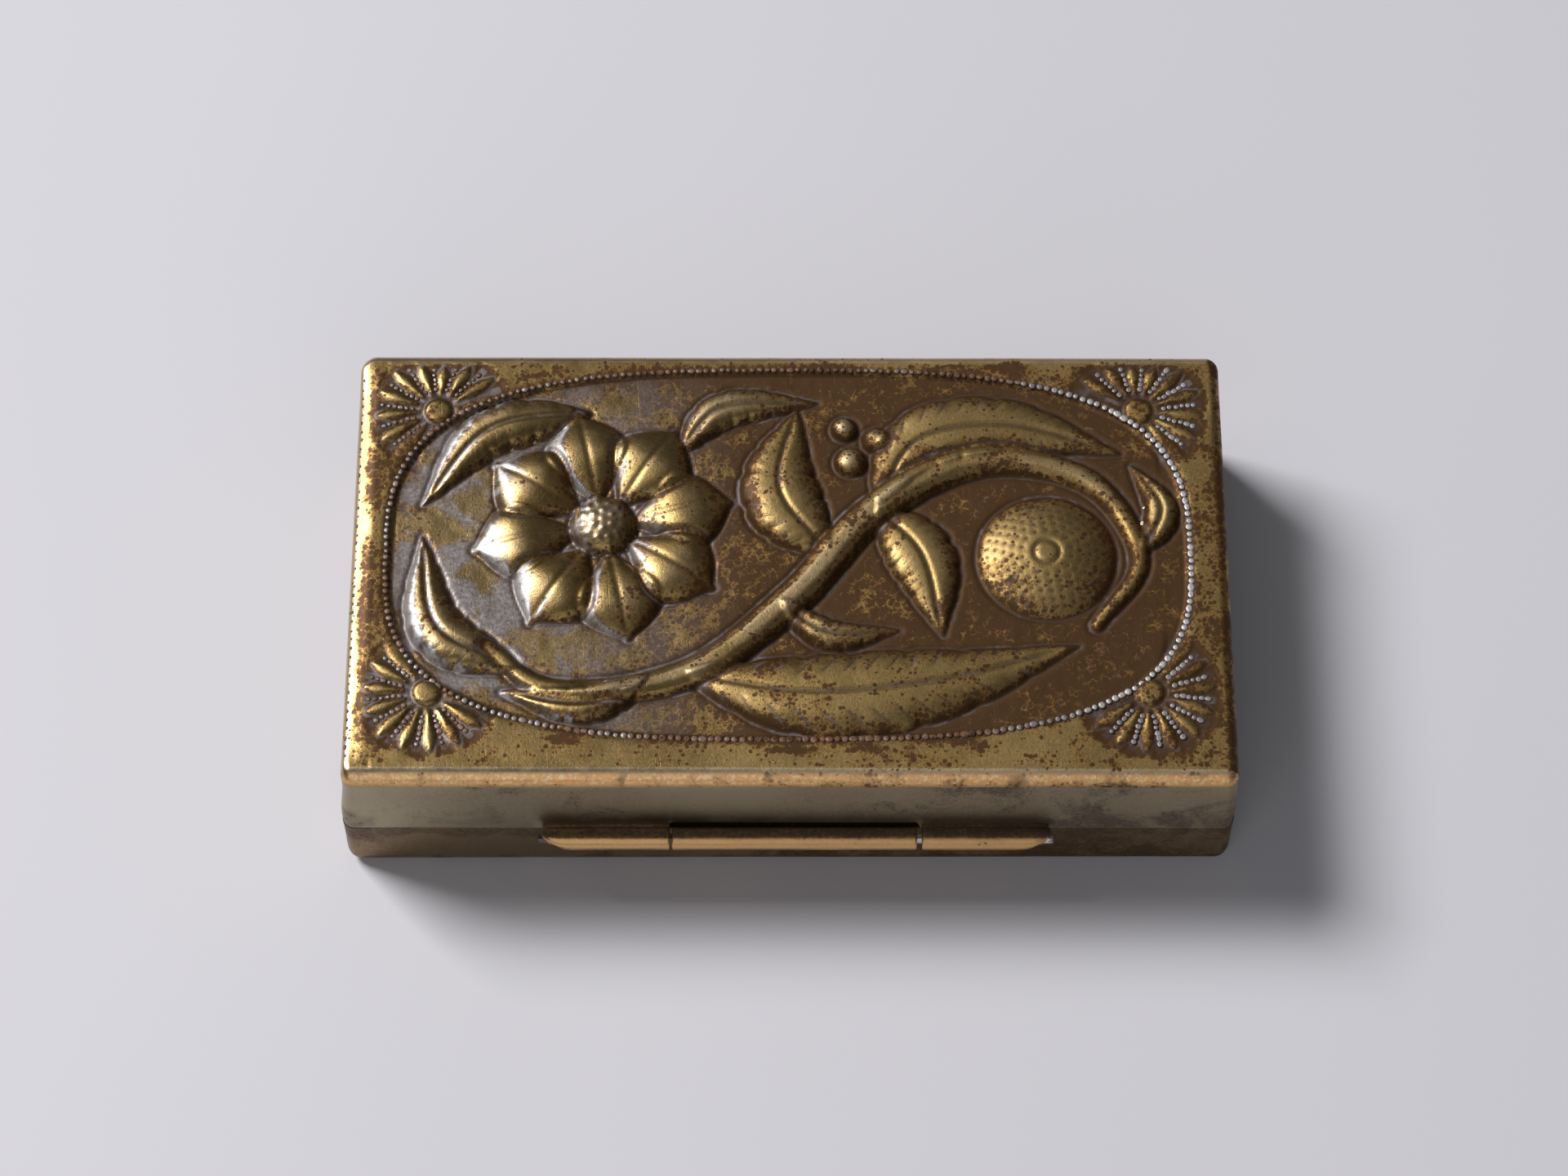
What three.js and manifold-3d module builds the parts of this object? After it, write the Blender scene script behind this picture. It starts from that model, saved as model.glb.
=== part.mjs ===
// A small rectangular brass box with a hinged lid, embossed on top in an oval beaded frame.
// Millimetres, +Z up, origin at the middle of the underside.
// The hinge is on the -Y side, the opening side on +Y.
import * as THREE from "three";
import { mergeVertices } from "three/addons/utils/BufferGeometryUtils.js";
import Module from "manifold-3d";

// Outer size of the closed box, without the hinge, the thumb lip and the relief
const boxWidth = 90.6;
const boxDepth = 50;
const baseHeight = 8;
const lidHeight = 11;
const cornerRadius = 1.3;

// Sheet and strip
const panelSheet = 0.6;
const floorSheet = 0.8;
const lidWall = 0.8;
const rimWall = 0.6;
const lidClearance = 0.25; // between the lid's strip and the bearing rim that it closes over
const baseWall = lidWall + lidClearance;
const stripSeam = 0.12; // hairline where the two ends of a bent strip meet
const seamFromCorner = 0.4; // from that hairline to the corner's curve
const rimRise = 3.4; // how far the bearing rim stands above the seam
const rimSeat = 6; // how far it reaches down into the base
const panelArris = 1.2;
const floorArris = 1.5;
const panelTurnDown = 1.7; // height of the embossed sheet's turned-down edge
const floorTurnUp = 1.8;

// Hinge
const knuckleRadius = 1.18;
const pinRadius = 0.5;
const pinClearance = 0.08;
const knuckleStandOff = 0.1; // between a knuckle and the wall that turns past it
const hingeRise = 0.4; // height of the hinge line above the seam
const centreKnuckle = 24.8;
const outerKnuckle = 13;
const leftGap = 0.2; // between the centre knuckle and its neighbours
const rightGap = 0.5;
const hingeShift = 0.6; // the hinge was soldered on slightly right of the middle
const footReach = 0.9; // height of the soldered foot, from the hinge line
const knuckleMitre = 1.1; // how far the outer ends are cut back on the side away from the box
const footClear = 0.1; // from a foot to the seam
const pinProud = 0.4;
const hingeNotch = 1.25; // height cut out of the lid's strip over the centre knuckle

// Thumb lip
const lipLength = 13;
const lipReach = 1.5;
const lipThickness = 0.9;
const lipLift = 0.3; // above the seam

// Embossing of the lid
const fieldMarginSide = 4.1; // from the box's end to the middle of the beaded ring
const fieldMarginFront = 2;
const fieldMarginHinge = 4.5;
const fieldPower = 3; // 2 would be an ellipse, more is squarer
const fieldSunk = 0.5; // depth of the oval field below the border
const ringHalfWidth = 0.5;
const ringHeight = 0.3; // above the border
const reliefSink = 0.15; // how far each raised form starts below the surface it stands on

const seam = baseHeight;
const lidTop = baseHeight + lidHeight;
const fieldGround = lidTop - fieldSunk;
const fieldHalfX = boxWidth / 2 - fieldMarginSide;
const fieldHalfY = (boxDepth - fieldMarginFront - fieldMarginHinge) / 2;
const fieldCentreY = (fieldMarginHinge - fieldMarginFront) / 2;
const hingeWallY = -boxDepth / 2;
const frontWallY = boxDepth / 2;
const hingeY = hingeWallY - knuckleRadius - knuckleStandOff;
const hingeZ = seam + hingeRise;

const cornerSteps = 5;
const fieldSteps = 56;
const roundSteps = 20;

const wasm = await Module();
wasm.setup();

// Solids and booleans

function solidOf(geometry) {
  const bare = new THREE.BufferGeometry();
  bare.setAttribute("position", geometry.getAttribute("position").clone());
  if (geometry.index) bare.setIndex(geometry.index.clone());
  const merged = mergeVertices(bare, 1e-4);
  return new wasm.Manifold(
    new wasm.Mesh({
      numProp: 3,
      vertProperties: new Float32Array(merged.attributes.position.array),
      triVerts: new Uint32Array(merged.index.array),
    }),
  );
}

function geometryOf(solid) {
  const mesh = solid.getMesh();
  const geometry = new THREE.BufferGeometry();
  geometry.setAttribute("position", new THREE.BufferAttribute(mesh.vertProperties, 3));
  geometry.setIndex(new THREE.BufferAttribute(mesh.triVerts, 1));
  geometry.computeVertexNormals();
  return geometry;
}

const joined = (solids) => solids.reduce((sum, next) => sum.add(next));

// A closed skin over a stack of rings with equal counts of points,
// each ring anticlockwise seen from the last one.
// A loop of rings closes on itself; otherwise both ends are closed by a fan.
function skin(rings, isLoop = false) {
  const count = rings[0].length;
  const points = rings.flat();
  const faces = [];
  const last = isLoop ? rings.length : rings.length - 1;
  for (let r = 0; r < last; r++) {
    const low = r * count;
    const high = ((r + 1) % rings.length) * count;
    for (let i = 0; i < count; i++) {
      const next = (i + 1) % count;
      faces.push(low + i, low + next, high + next, low + i, high + next, high + i);
    }
  }
  const close = (ring, start, turned) => {
    const middle = new THREE.Vector3();
    ring.forEach((p) => middle.addScaledVector(p, 1 / count));
    points.push(middle);
    for (let i = 0; i < count; i++) {
      const pair = [start + i, start + ((i + 1) % count)];
      if (turned) pair.reverse();
      faces.push(points.length - 1, ...pair);
    }
  };
  if (!isLoop) {
    close(rings[0], 0, true);
    close(rings.at(-1), (rings.length - 1) * count, false);
  }
  const geometry = new THREE.BufferGeometry().setFromPoints(points);
  geometry.setIndex(faces);
  return geometry;
}

function blockOf(lowX, highX, lowY, highY, lowZ, highZ) {
  const block = new THREE.BoxGeometry(highX - lowX, highY - lowY, highZ - lowZ);
  return block.translate((lowX + highX) / 2, (lowY + highY) / 2, (lowZ + highZ) / 2);
}

// Outlines in plan

// The box's outline drawn in by inset, anticlockwise, starting at the hinge-side end of the +X wall
function outline(inset) {
  const radius = Math.max(cornerRadius - inset, 0.2);
  const halfX = boxWidth / 2 - inset - radius;
  const halfY = boxDepth / 2 - inset - radius;
  const centres = [[halfX, halfY], [-halfX, halfY], [-halfX, -halfY], [halfX, -halfY]];
  const points = [];
  centres.forEach(([x, y], corner) => {
    for (let i = 0; i <= cornerSteps; i++) {
      const turn = (corner + i / cornerSteps) * (Math.PI / 2);
      points.push(new THREE.Vector2(x + radius * Math.cos(turn), y + radius * Math.sin(turn)));
    }
  });
  return points;
}

const lift = (points, z) => points.map((p) => new THREE.Vector3(p.x, p.y, z));

// A point on the oval, turn from 0 to 2 pi, drawn in by inset
function ovalPoint(turn, inset) {
  const c = Math.cos(turn);
  const s = Math.sin(turn);
  const power = 2 / fieldPower;
  return new THREE.Vector2(
    (fieldHalfX - inset) * Math.sign(c) * Math.abs(c) ** power,
    fieldCentreY + (fieldHalfY - inset) * Math.sign(s) * Math.abs(s) ** power,
  );
}

function ovalPoints(inset) {
  const steps = [...Array(fieldSteps).keys()];
  return steps.map((i) => ovalPoint((i / fieldSteps) * 2 * Math.PI, inset));
}

// Shells

// A block with one arris rounded: the flat end at flatZ, the square end at openZ
function roundedBlock(inset, flatZ, openZ, arris) {
  const up = Math.sign(openZ - flatZ);
  const arcSteps = 4;
  const rings = [];
  for (let i = 0; i <= arcSteps; i++) {
    const turn = (i / arcSteps) * (Math.PI / 2);
    const drawnIn = arris * (1 - Math.sin(turn));
    rings.push(lift(outline(inset + drawnIn), flatZ + up * arris * (1 - Math.cos(turn))));
  }
  rings.push(lift(outline(inset), openZ));
  return solidOf(skin(up > 0 ? rings : rings.reverse()));
}

// A strip bent round the box's outline, its two ends meeting on the +X wall beside the hinge-side corner
function bentStrip(inset, thickness, lowZ, highZ) {
  const ring = solidOf(skin([lift(outline(inset), lowZ), lift(outline(inset), highZ)]));
  const hollow = outline(inset + thickness);
  const inner = solidOf(skin([lift(hollow, lowZ - 1), lift(hollow, highZ + 1)]));
  const slitY = hingeWallY + cornerRadius + seamFromCorner;
  const slit = blockOf(0, boxWidth, slitY, slitY + stripSeam, lowZ - 1, highZ + 1);
  const wanted = ring.subtract(inner);
  return wanted.subtract(solidOf(slit));
}

// Raised forms. Every one is a closed body whose flat underside is buried in the sheet;
// drawnIn is 0 for the face and the sheet's thickness for the plainer hollow behind it.

// Cross-sections from left to right over the top: place across and rise, each as a share of the whole
const roundSection = [[-1, 0], [-0.62, 0.78], [0, 1], [0.62, 0.78], [1, 0]];
const leafSection = [[-1, 0], [-0.5, 1], [0, 0.66], [0.5, 1], [1, 0]];
const plainSection = [[-1, 0], [-0.4, 1], [0.4, 1], [1, 0]];
const petalSection = [[-1, 0], [0, 1], [1, 0]];
const buried = 0.35; // depth of the underside below a form's edge

// A form that follows a curve in plan: halfWidth and height are functions of the place along it, 0 to 1
function ridge(curve, halfWidth, height, section, ground, stations, drawnIn = 0) {
  const foot = ground - drawnIn - reliefSink;
  const profile = drawnIn > 0 ? plainSection : section;
  const count = drawnIn > 0 ? Math.ceil(stations / 2) : stations;
  const rings = [];
  for (let i = 0; i <= count; i++) {
    const along = i / count;
    const middle = curve.getPointAt(along);
    const heading = curve.getTangentAt(along);
    const full = halfWidth(along);
    const half = Math.max(full - drawnIn, 0.12 * full);
    const at = (across, z) => new THREE.Vector3(
      middle.x + heading.y * across * half,
      middle.y - heading.x * across * half,
      z,
    );
    const top = profile.map(([across, rise]) => at(across, foot + rise * (height(along) + reliefSink)));
    rings.push([...top, at(0.8, foot - buried), at(-0.8, foot - buried)]);
  }
  return solidOf(skin(rings));
}

function dome(x, y, radius, height, ground, drawnIn = 0) {
  const isSmall = radius < 2.5;
  const around = isSmall ? 8 : 14;
  const rows = isSmall ? 2 : 4;
  const half = Math.max(radius - drawnIn, 0.2);
  const profile = [new THREE.Vector2(0, -buried), new THREE.Vector2(half * 0.9, -buried)];
  for (let i = 0; i < rows; i++) {
    const turn = (i / rows) * (Math.PI / 2);
    profile.push(new THREE.Vector2(half * Math.cos(turn), (height + reliefSink) * Math.sin(turn)));
  }
  profile.push(new THREE.Vector2(0, height + reliefSink));
  const ball = new THREE.LatheGeometry(profile, around).rotateX(Math.PI / 2);
  return solidOf(ball.translate(x, y, ground - drawnIn - reliefSink));
}

// A place in the oval field: u and v run from -1 to 1 across its width and depth
const inField = (u, v) => new THREE.Vector3(u * fieldHalfX, fieldCentreY + v * fieldHalfY, 0);

// A size along a form: least at both ends, most at the peak
const swell = (most, least, peak) => (s) =>
  least + (most - least) * Math.sin(Math.PI * s ** (Math.log(0.5) / Math.log(peak)));

// The design: a stem that winds across the field, with leaves, a flower of eight petals round an eye,
// a round fruit in the stem's last bend, and berries. Points are u, v in the oval field.
const flower = {
  u: -0.46, v: 0.14, petals: 8, firstTurn: 12,
  inner: 2.8, outer: 13.2, half: 4.5, height: 1.45,
};
const flowerEye = { radius: 3.5, height: 1.8 };
const stem = {
  points: [
    [-0.74, -0.51], [-0.59, -0.72], [-0.25, -0.65], [0.02, -0.23], [0.22, 0.23], [0.49, 0.49],
    [0.76, 0.37], [0.87, -0.05], [0.76, -0.39],
  ],
  half: 2.1,
  height: 1.45,
};
const leaves = [
  { points: [[-0.25, -0.65], [0.05, -0.76], [0.39, -0.69], [0.71, -0.5]], half: 5, height: 1.55 },
  { points: [[0.1, 0], [-0.02, 0.32], [0.02, 0.78]], half: 4.3, height: 1.4 },
  { points: [[0.22, 0.23], [0.32, 0.58], [0.54, 0.68], [0.83, 0.54]], half: 4.2, height: 1.45 },
  { points: [[0.22, 0.23], [0.33, -0.02], [0.38, -0.44]], half: 3.7, height: 1.35 },
  { points: [[-0.66, -0.62], [-0.86, -0.42], [-0.91, 0.08]], half: 3, height: 1.25 },
  { points: [[-0.5, 0.76], [-0.75, 0.65], [-0.91, 0.26]], half: 3, height: 1.25 },
  { points: [[-0.27, 0.55], [-0.17, 0.77], [0.07, 0.82]], half: 2.3, height: 1.1 },
  { points: [[-0.34, -0.66], [-0.49, -0.81], [-0.7, -0.74]], half: 2.2, height: 1.05 },
  { points: [[0.88, 0], [0.93, 0.22], [0.86, 0.47]], half: 1.9, height: 1 },
  { points: [[-0.02, -0.28], [0.1, -0.44], [0.27, -0.42]], half: 1.9, height: 1 },
];
const fruit = { u: 0.64, v: -0.03, radius: 7.2, height: 1.9 };
const berries = [
  { u: 0.155, v: 0.49, radius: 1.8, height: 1.1 },
  { u: 0.14, v: 0.67, radius: 1.5, height: 1 },
  { u: 0.22, v: 0.61, radius: 1.6, height: 1 },
];

const curveThrough = (points) => new THREE.CatmullRomCurve3(points.map(([u, v]) => inField(u, v)));

function flowerForms(drawnIn) {
  const centre = inField(flower.u, flower.v);
  const forms = [dome(centre.x, centre.y, flowerEye.radius, flowerEye.height, fieldGround, drawnIn)];
  for (let i = 0; i < flower.petals; i++) {
    const turn = (flower.firstTurn * Math.PI) / 180 + (i / flower.petals) * 2 * Math.PI;
    const heading = new THREE.Vector3(Math.cos(turn), Math.sin(turn), 0);
    const line = new THREE.LineCurve3(
      centre.clone().addScaledVector(heading, flower.inner),
      centre.clone().addScaledVector(heading, flower.outer),
    );
    const half = swell(flower.half, 0.5, 0.6);
    const rise = swell(flower.height, 0.15, 0.55);
    forms.push(ridge(line, half, rise, leafSection, fieldGround, 6, drawnIn));
  }
  return forms;
}

function stemForms(drawnIn) {
  const stemHalf = swell(stem.half, 0.8, 0.45);
  const stemRise = swell(stem.height, 0.4, 0.5);
  const stemCurve = curveThrough(stem.points);
  const forms = [ridge(stemCurve, stemHalf, stemRise, roundSection, fieldGround, 26, drawnIn)];
  for (const leaf of leaves) {
    const half = swell(leaf.half, 0.3, 0.42);
    const rise = swell(leaf.height, 0.1, 0.4);
    forms.push(ridge(curveThrough(leaf.points), half, rise, leafSection, fieldGround, 9, drawnIn));
  }
  for (const ball of [fruit, ...berries]) {
    const place = inField(ball.u, ball.v);
    forms.push(dome(place.x, place.y, ball.radius, ball.height, fieldGround, drawnIn));
  }
  return forms;
}

// A fan of petals round a boss in each corner of the border, reaching to the arris
const cornerFan = {
  fromEnd: 9, fromFront: 7.1, fromHinge: 9.9, boss: 1.3, bossHeight: 0.5,
  petals: 9, step: 25, inner: 1.8, longest: 7.8, half: 1.15, height: 0.35, clear: 0.35,
};

function cornerForms(sideX, sideY) {
  const x = sideX * (boxWidth / 2 - cornerFan.fromEnd);
  const y = sideY * (boxDepth / 2 - (sideY > 0 ? cornerFan.fromFront : cornerFan.fromHinge));
  const roomX = boxWidth / 2 - panelArris - cornerFan.clear - Math.abs(x);
  const roomY = boxDepth / 2 - panelArris - cornerFan.clear - Math.abs(y);
  const forms = [dome(x, y, cornerFan.boss, cornerFan.bossHeight, lidTop)];
  for (let i = 0; i < cornerFan.petals; i++) {
    const turn = ((i - (cornerFan.petals - 1) / 2) * cornerFan.step + 45) * (Math.PI / 180);
    const c = Math.cos(turn);
    const s = Math.sin(turn);
    const room = Math.min(c > 0.05 ? roomX / c : Infinity, s > 0.05 ? roomY / s : Infinity);
    const reach = Math.min(cornerFan.longest, room);
    const at = (r) => new THREE.Vector3(x + sideX * c * r, y + sideY * s * r, 0);
    const line = new THREE.LineCurve3(at(cornerFan.inner), at(reach));
    const rise = swell(cornerFan.height, 0.05, 0.6);
    forms.push(ridge(line, swell(cornerFan.half, 0.3, 0.66), rise, petalSection, lidTop, 3));
  }
  return forms;
}

// The ring of beads that frames the field, as one raised cord
function beadedRing() {
  const section = [[-1, 0], [0, 1], [1, 0], [0, -1]];
  const rings = section.map(([across, rise]) =>
    lift(ovalPoints(across * ringHalfWidth), lidTop - reliefSink + rise * (ringHeight + reliefSink)));
  return solidOf(skin(rings, true));
}

// Everything under the lid's face, drawn in by a distance: the panel is the difference of two of these
function underFace(drawnIn, openZ) {
  const block = roundedBlock(drawnIn, lidTop - drawnIn, openZ, panelArris - drawnIn * 0.8);
  const field = ovalPoints(-drawnIn);
  const sunk = solidOf(skin([lift(field, fieldGround - drawnIn), lift(field, lidTop + 1)]));
  return block.subtract(sunk).add(joined([...flowerForms(drawnIn), ...stemForms(drawnIn)]));
}

// Lid

function makeLidPanel() {
  const rimZ = lidTop - panelTurnDown;
  const corners = [[1, 1], [-1, 1], [-1, -1], [1, -1]].flatMap(([x, y]) => cornerForms(x, y));
  const face = joined([underFace(0, rimZ), beadedRing(), ...corners]);
  return geometryOf(face.subtract(underFace(panelSheet, rimZ - 1)));
}

function makeLidBand() {
  const strip = bentStrip(0, lidWall, seam, lidTop - panelTurnDown);
  const lowX = hingeShift - centreKnuckle / 2 - leftGap;
  const highX = hingeShift + centreKnuckle / 2 + rightGap;
  const notch = blockOf(lowX, highX, hingeWallY - 1, hingeWallY + lidWall + 1, seam - 1, seam + hingeNotch);
  return geometryOf(strip.subtract(solidOf(notch)));
}

function makeThumbLip() {
  // a slice of a disc: its chord lies on the lid's front wall
  const radius = (lipLength ** 2 / 4 + lipReach ** 2) / (2 * lipReach);
  const half = Math.asin(lipLength / 2 / radius);
  const shape = new THREE.Shape();
  shape.absarc(0, lipReach - radius, radius, Math.PI / 2 - half, Math.PI / 2 + half, false);
  shape.closePath();
  const bevel = { bevelEnabled: false, depth: lipThickness, curveSegments: 14 };
  return new THREE.ExtrudeGeometry(shape, bevel).translate(0, frontWallY, seam + lipLift);
}

// Base

function makeBasePan() {
  const outer = roundedBlock(0, 0, floorTurnUp, floorArris);
  const inner = roundedBlock(baseWall, floorSheet, floorTurnUp + 1, floorArris - floorSheet);
  return geometryOf(outer.subtract(inner));
}

function makeBaseBand() {
  return geometryOf(bentStrip(0, baseWall, floorTurnUp, seam));
}

// The bearing rim: a strip bent to a U inside the base, open towards the hinge
function makeRimStrip() {
  const lowZ = seam - rimSeat;
  const highZ = seam + rimRise;
  const outer = solidOf(skin([lift(outline(baseWall), lowZ), lift(outline(baseWall), highZ)]));
  const hollow = outline(baseWall + rimWall);
  const inner = solidOf(skin([lift(hollow, lowZ - 1), lift(hollow, highZ + 1)]));
  const hingeEnd = hingeWallY + cornerRadius + 1;
  const cut = blockOf(-boxWidth, boxWidth, -boxDepth, hingeEnd, lowZ - 1, highZ + 1);
  return geometryOf(outer.subtract(inner).subtract(solidOf(cut)));
}

// Hinge

// A length of tube on the hinge line, its foot soldered to the lid's wall (side 1) or to the base's (side -1)
function knuckle(fromX, toX, side) {
  const wall = knuckleRadius + knuckleStandOff;
  const low = side > 0 ? footClear - hingeRise : -hingeRise - footClear;
  const high = side > 0 ? footReach : -footReach - hingeRise;
  const foot = new THREE.Shape();
  foot.moveTo(pinRadius, low);
  foot.lineTo(wall, low);
  foot.lineTo(wall, high);
  foot.lineTo(pinRadius, side * footReach);
  foot.closePath();
  const tube = extrudeAlongHinge(circleShape(knuckleRadius), fromX, toX);
  const bore = extrudeAlongHinge(circleShape(pinRadius + pinClearance), fromX - 1, toX + 1);
  return tube.add(extrudeAlongHinge(foot, fromX, toX)).subtract(bore);
}

function circleShape(radius) {
  const turns = [...Array(roundSteps).keys()].map((i) => (i / roundSteps) * 2 * Math.PI);
  return new THREE.Shape(turns.map((t) => new THREE.Vector2(radius * Math.cos(t), radius * Math.sin(t))));
}

// Extrudes a profile drawn in (y, z) about the hinge line from one x to another
function extrudeAlongHinge(shape, fromX, toX) {
  const extent = { depth: toX - fromX, bevelEnabled: false, curveSegments: roundSteps };
  const body = new THREE.ExtrudeGeometry(shape, extent);
  body.applyMatrix4(new THREE.Matrix4().makeBasis(
    new THREE.Vector3(0, 1, 0), new THREE.Vector3(0, 0, 1), new THREE.Vector3(1, 0, 0),
  ));
  return solidOf(body.translate(fromX, hingeY, hingeZ));
}

// An outer knuckle: its free end is cut back on the side away from the box
function makeLidKnuckle(side) {
  const near = hingeShift + side * (centreKnuckle / 2 + (side > 0 ? rightGap : leftGap));
  const far = near + side * outerKnuckle;
  const whole = knuckle(Math.min(near, far), Math.max(near, far), 1);
  const outerY = hingeY - knuckleRadius - 1;
  const wedge = new THREE.Shape([
    new THREE.Vector2(far, hingeWallY),
    new THREE.Vector2(far - side * knuckleMitre, hingeY - knuckleRadius),
    new THREE.Vector2(far - side * knuckleMitre, outerY),
    new THREE.Vector2(far + side, outerY),
    new THREE.Vector2(far + side, hingeWallY),
  ]);
  const cut = new THREE.ExtrudeGeometry(wedge, { depth: 4 * knuckleRadius, bevelEnabled: false });
  return geometryOf(whole.subtract(solidOf(cut.translate(0, 0, hingeZ - 2 * knuckleRadius))));
}

function makeBaseKnuckle() {
  return geometryOf(knuckle(hingeShift - centreKnuckle / 2, hingeShift + centreKnuckle / 2, -1));
}

function makeHingePin() {
  const lowX = hingeShift - centreKnuckle / 2 - leftGap - outerKnuckle - pinProud;
  const highX = hingeShift + centreKnuckle / 2 + rightGap + outerKnuckle + pinProud;
  const crown = 0.15; // the hammered ends are slightly domed
  const profile = [
    [0, lowX], [pinRadius * 0.7, lowX + crown * 0.4], [pinRadius, lowX + crown],
    [pinRadius, highX - crown], [pinRadius * 0.7, highX - crown * 0.4], [0, highX],
  ].map(([r, h]) => new THREE.Vector2(r, h));
  const pin = new THREE.LatheGeometry(profile, roundSteps).rotateZ(-Math.PI / 2);
  return geometryOf(solidOf(pin)).translate(0, hingeY, hingeZ);
}

// Assembly

const wornBrass = { color: 0x8a7440, roughness: 0.38, metalness: 1 };
const darkBrass = { color: 0x5e4a2a, roughness: 0.45, metalness: 1 };
const brightBrass = { color: 0xb08a4c, roughness: 0.3, metalness: 1 };
const steel = { color: 0xa9aaac, roughness: 0.35, metalness: 1 };

function meshOf(name, geometry, finish) {
  const mesh = new THREE.Mesh(geometry, new THREE.MeshStandardMaterial(finish));
  mesh.name = name;
  return mesh;
}

const lid = new THREE.Group();
lid.add(
  meshOf("lid_panel", makeLidPanel(), wornBrass),
  meshOf("lid_band", makeLidBand(), wornBrass),
  meshOf("thumb_lip", makeThumbLip(), brightBrass),
  meshOf("lid_knuckle_left", makeLidKnuckle(-1), brightBrass),
  meshOf("lid_knuckle_right", makeLidKnuckle(1), brightBrass),
  meshOf("hinge_pin", makeHingePin(), steel),
);

const base = new THREE.Group();
base.add(
  meshOf("base_pan", makeBasePan(), darkBrass),
  meshOf("base_band", makeBaseBand(), darkBrass),
  meshOf("rim_strip", makeRimStrip(), brightBrass),
  meshOf("base_knuckle", makeBaseKnuckle(), brightBrass),
);

const box = new THREE.Group();
box.add(base, lid);

export default box;
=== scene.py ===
import math

import bpy
import numpy as np
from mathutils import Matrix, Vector


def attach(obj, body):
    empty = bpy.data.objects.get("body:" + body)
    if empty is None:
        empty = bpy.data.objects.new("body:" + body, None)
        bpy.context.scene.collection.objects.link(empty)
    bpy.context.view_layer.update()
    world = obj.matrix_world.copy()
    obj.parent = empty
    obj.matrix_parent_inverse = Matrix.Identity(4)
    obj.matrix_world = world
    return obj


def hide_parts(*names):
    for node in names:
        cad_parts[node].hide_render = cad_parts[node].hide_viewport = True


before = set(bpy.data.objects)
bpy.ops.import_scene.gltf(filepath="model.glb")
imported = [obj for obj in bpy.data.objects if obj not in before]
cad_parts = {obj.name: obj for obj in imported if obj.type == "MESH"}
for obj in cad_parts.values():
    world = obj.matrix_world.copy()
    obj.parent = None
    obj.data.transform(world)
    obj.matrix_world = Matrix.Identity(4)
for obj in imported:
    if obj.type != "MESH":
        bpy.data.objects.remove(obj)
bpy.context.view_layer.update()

mm = 0.001
crispAngle = math.radians(38)  # edges that turn more than this stay crisp
print("Frame loaded:", sorted(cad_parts))

# The box in millimetres: origin in the middle of its underside, hinge side towards -Y
box = {
    "halfX": 45.3, "halfY": 25.0, "seam": 8.0, "top": 19.0, "cornerRadius": 1.3, "farLeftRadius": 2.0,
    "farRightRadius": 1.5, "panelSheet": 0.6, "panelTurnDown": 1.7, "panelArris": 1.2, "lidWall": 0.8,
    "baseWall": 1.05, "rimWall": 0.6, "rimRise": 3.4, "rimSeat": 6.0, "floorSheet": 0.8, "floorTurnUp": 1.8,
    "floorArris": 1.5, "stripSeam": 0.12, "seamFromCorner": 0.4,
}
halfX, halfY = box["halfX"], box["halfY"]
cornerRadii = [box["farRightRadius"], box["farLeftRadius"], box["cornerRadius"], box["cornerRadius"]]
corners = [(1, 1), (1, -1), (-1, 1), (-1, -1)]


# Shared arithmetic


def smoothStep(low, high, value):
    t = np.clip((value - low) / (high - low), 0, 1)
    return t * t * (3 - 2 * t)


# 1 along the middle of a line, falling off softly to either side
def ridge(distance, width):
    return np.exp(-((distance / width) ** 2))


# how far a value is from the nearest whole number
def offBeat(value):
    beat = value % 1.0
    return np.minimum(beat, 1 - beat)


# smooth noise from -1 to 1, the same on every run
def patchNoise(x, y, cell, seed):
    size = 256
    grid = np.random.default_rng(seed).uniform(-1, 1, (size, size))
    u, v = np.asarray(x) / cell + 100.37, np.asarray(y) / cell + 100.71
    i, j = np.floor(u).astype(int), np.floor(v).astype(int)
    fu, fv = (u - i) ** 2 * (3 - 2 * (u - i)), (v - j) ** 2 * (3 - 2 * (v - j))
    near, far = [grid[i % size, k % size] * (1 - fu) + grid[(i + 1) % size, k % size] * fu for k in (j, j + 1)]
    return near * (1 - fv) + far * fv


# a soft mean over a grid of heights
def blurred(z, reach):
    out = z
    width = 2 * reach + 1
    for axis in (0, 1, 0, 1):
        pad = [(reach, reach) if a == axis else (0, 0) for a in (0, 1)]
        total = np.cumsum(np.pad(out, pad, mode="edge"), axis=axis)
        total = np.concatenate([np.zeros_like(np.take(total, [0], axis)), total], axis)
        count = z.shape[axis]
        out = (np.take(total, range(width, width + count), axis) - np.take(total, range(count), axis)) / width
    return out


# how far a hand-worked wall stands in from the true rectangle, never out: ends and sides each have their own lean
def wallLean(x, y, seed, waver, left, right, hinge, far):
    slow = 0.5 + 0.35 * patchNoise(x, y, 17.0, seed) + 0.15 * patchNoise(x, y, 5.5, seed + 1)
    toRight = np.clip(x / halfX, -1, 1) * 0.5 + 0.5
    ends = np.where(x < 0, left, right)
    sides = np.where(y < 0, hinge[0] + (hinge[1] - hinge[0]) * toRight, far[0] + (far[1] - far[0]) * toRight)
    return waver * slow + ends, waver * slow + sides


# moves points in by wallLean, fading out away from the walls
def leanIn(x, y, leanX, leanY, fade=5.0):
    nearEnd = np.clip((np.abs(x) - (halfX - fade)) / fade, 0, 1)
    nearSide = np.clip((np.abs(y) - (halfY - fade)) / fade, 0, 1)
    return x - np.sign(x) * leanX * nearEnd, y - np.sign(y) * leanY * nearSide


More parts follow.
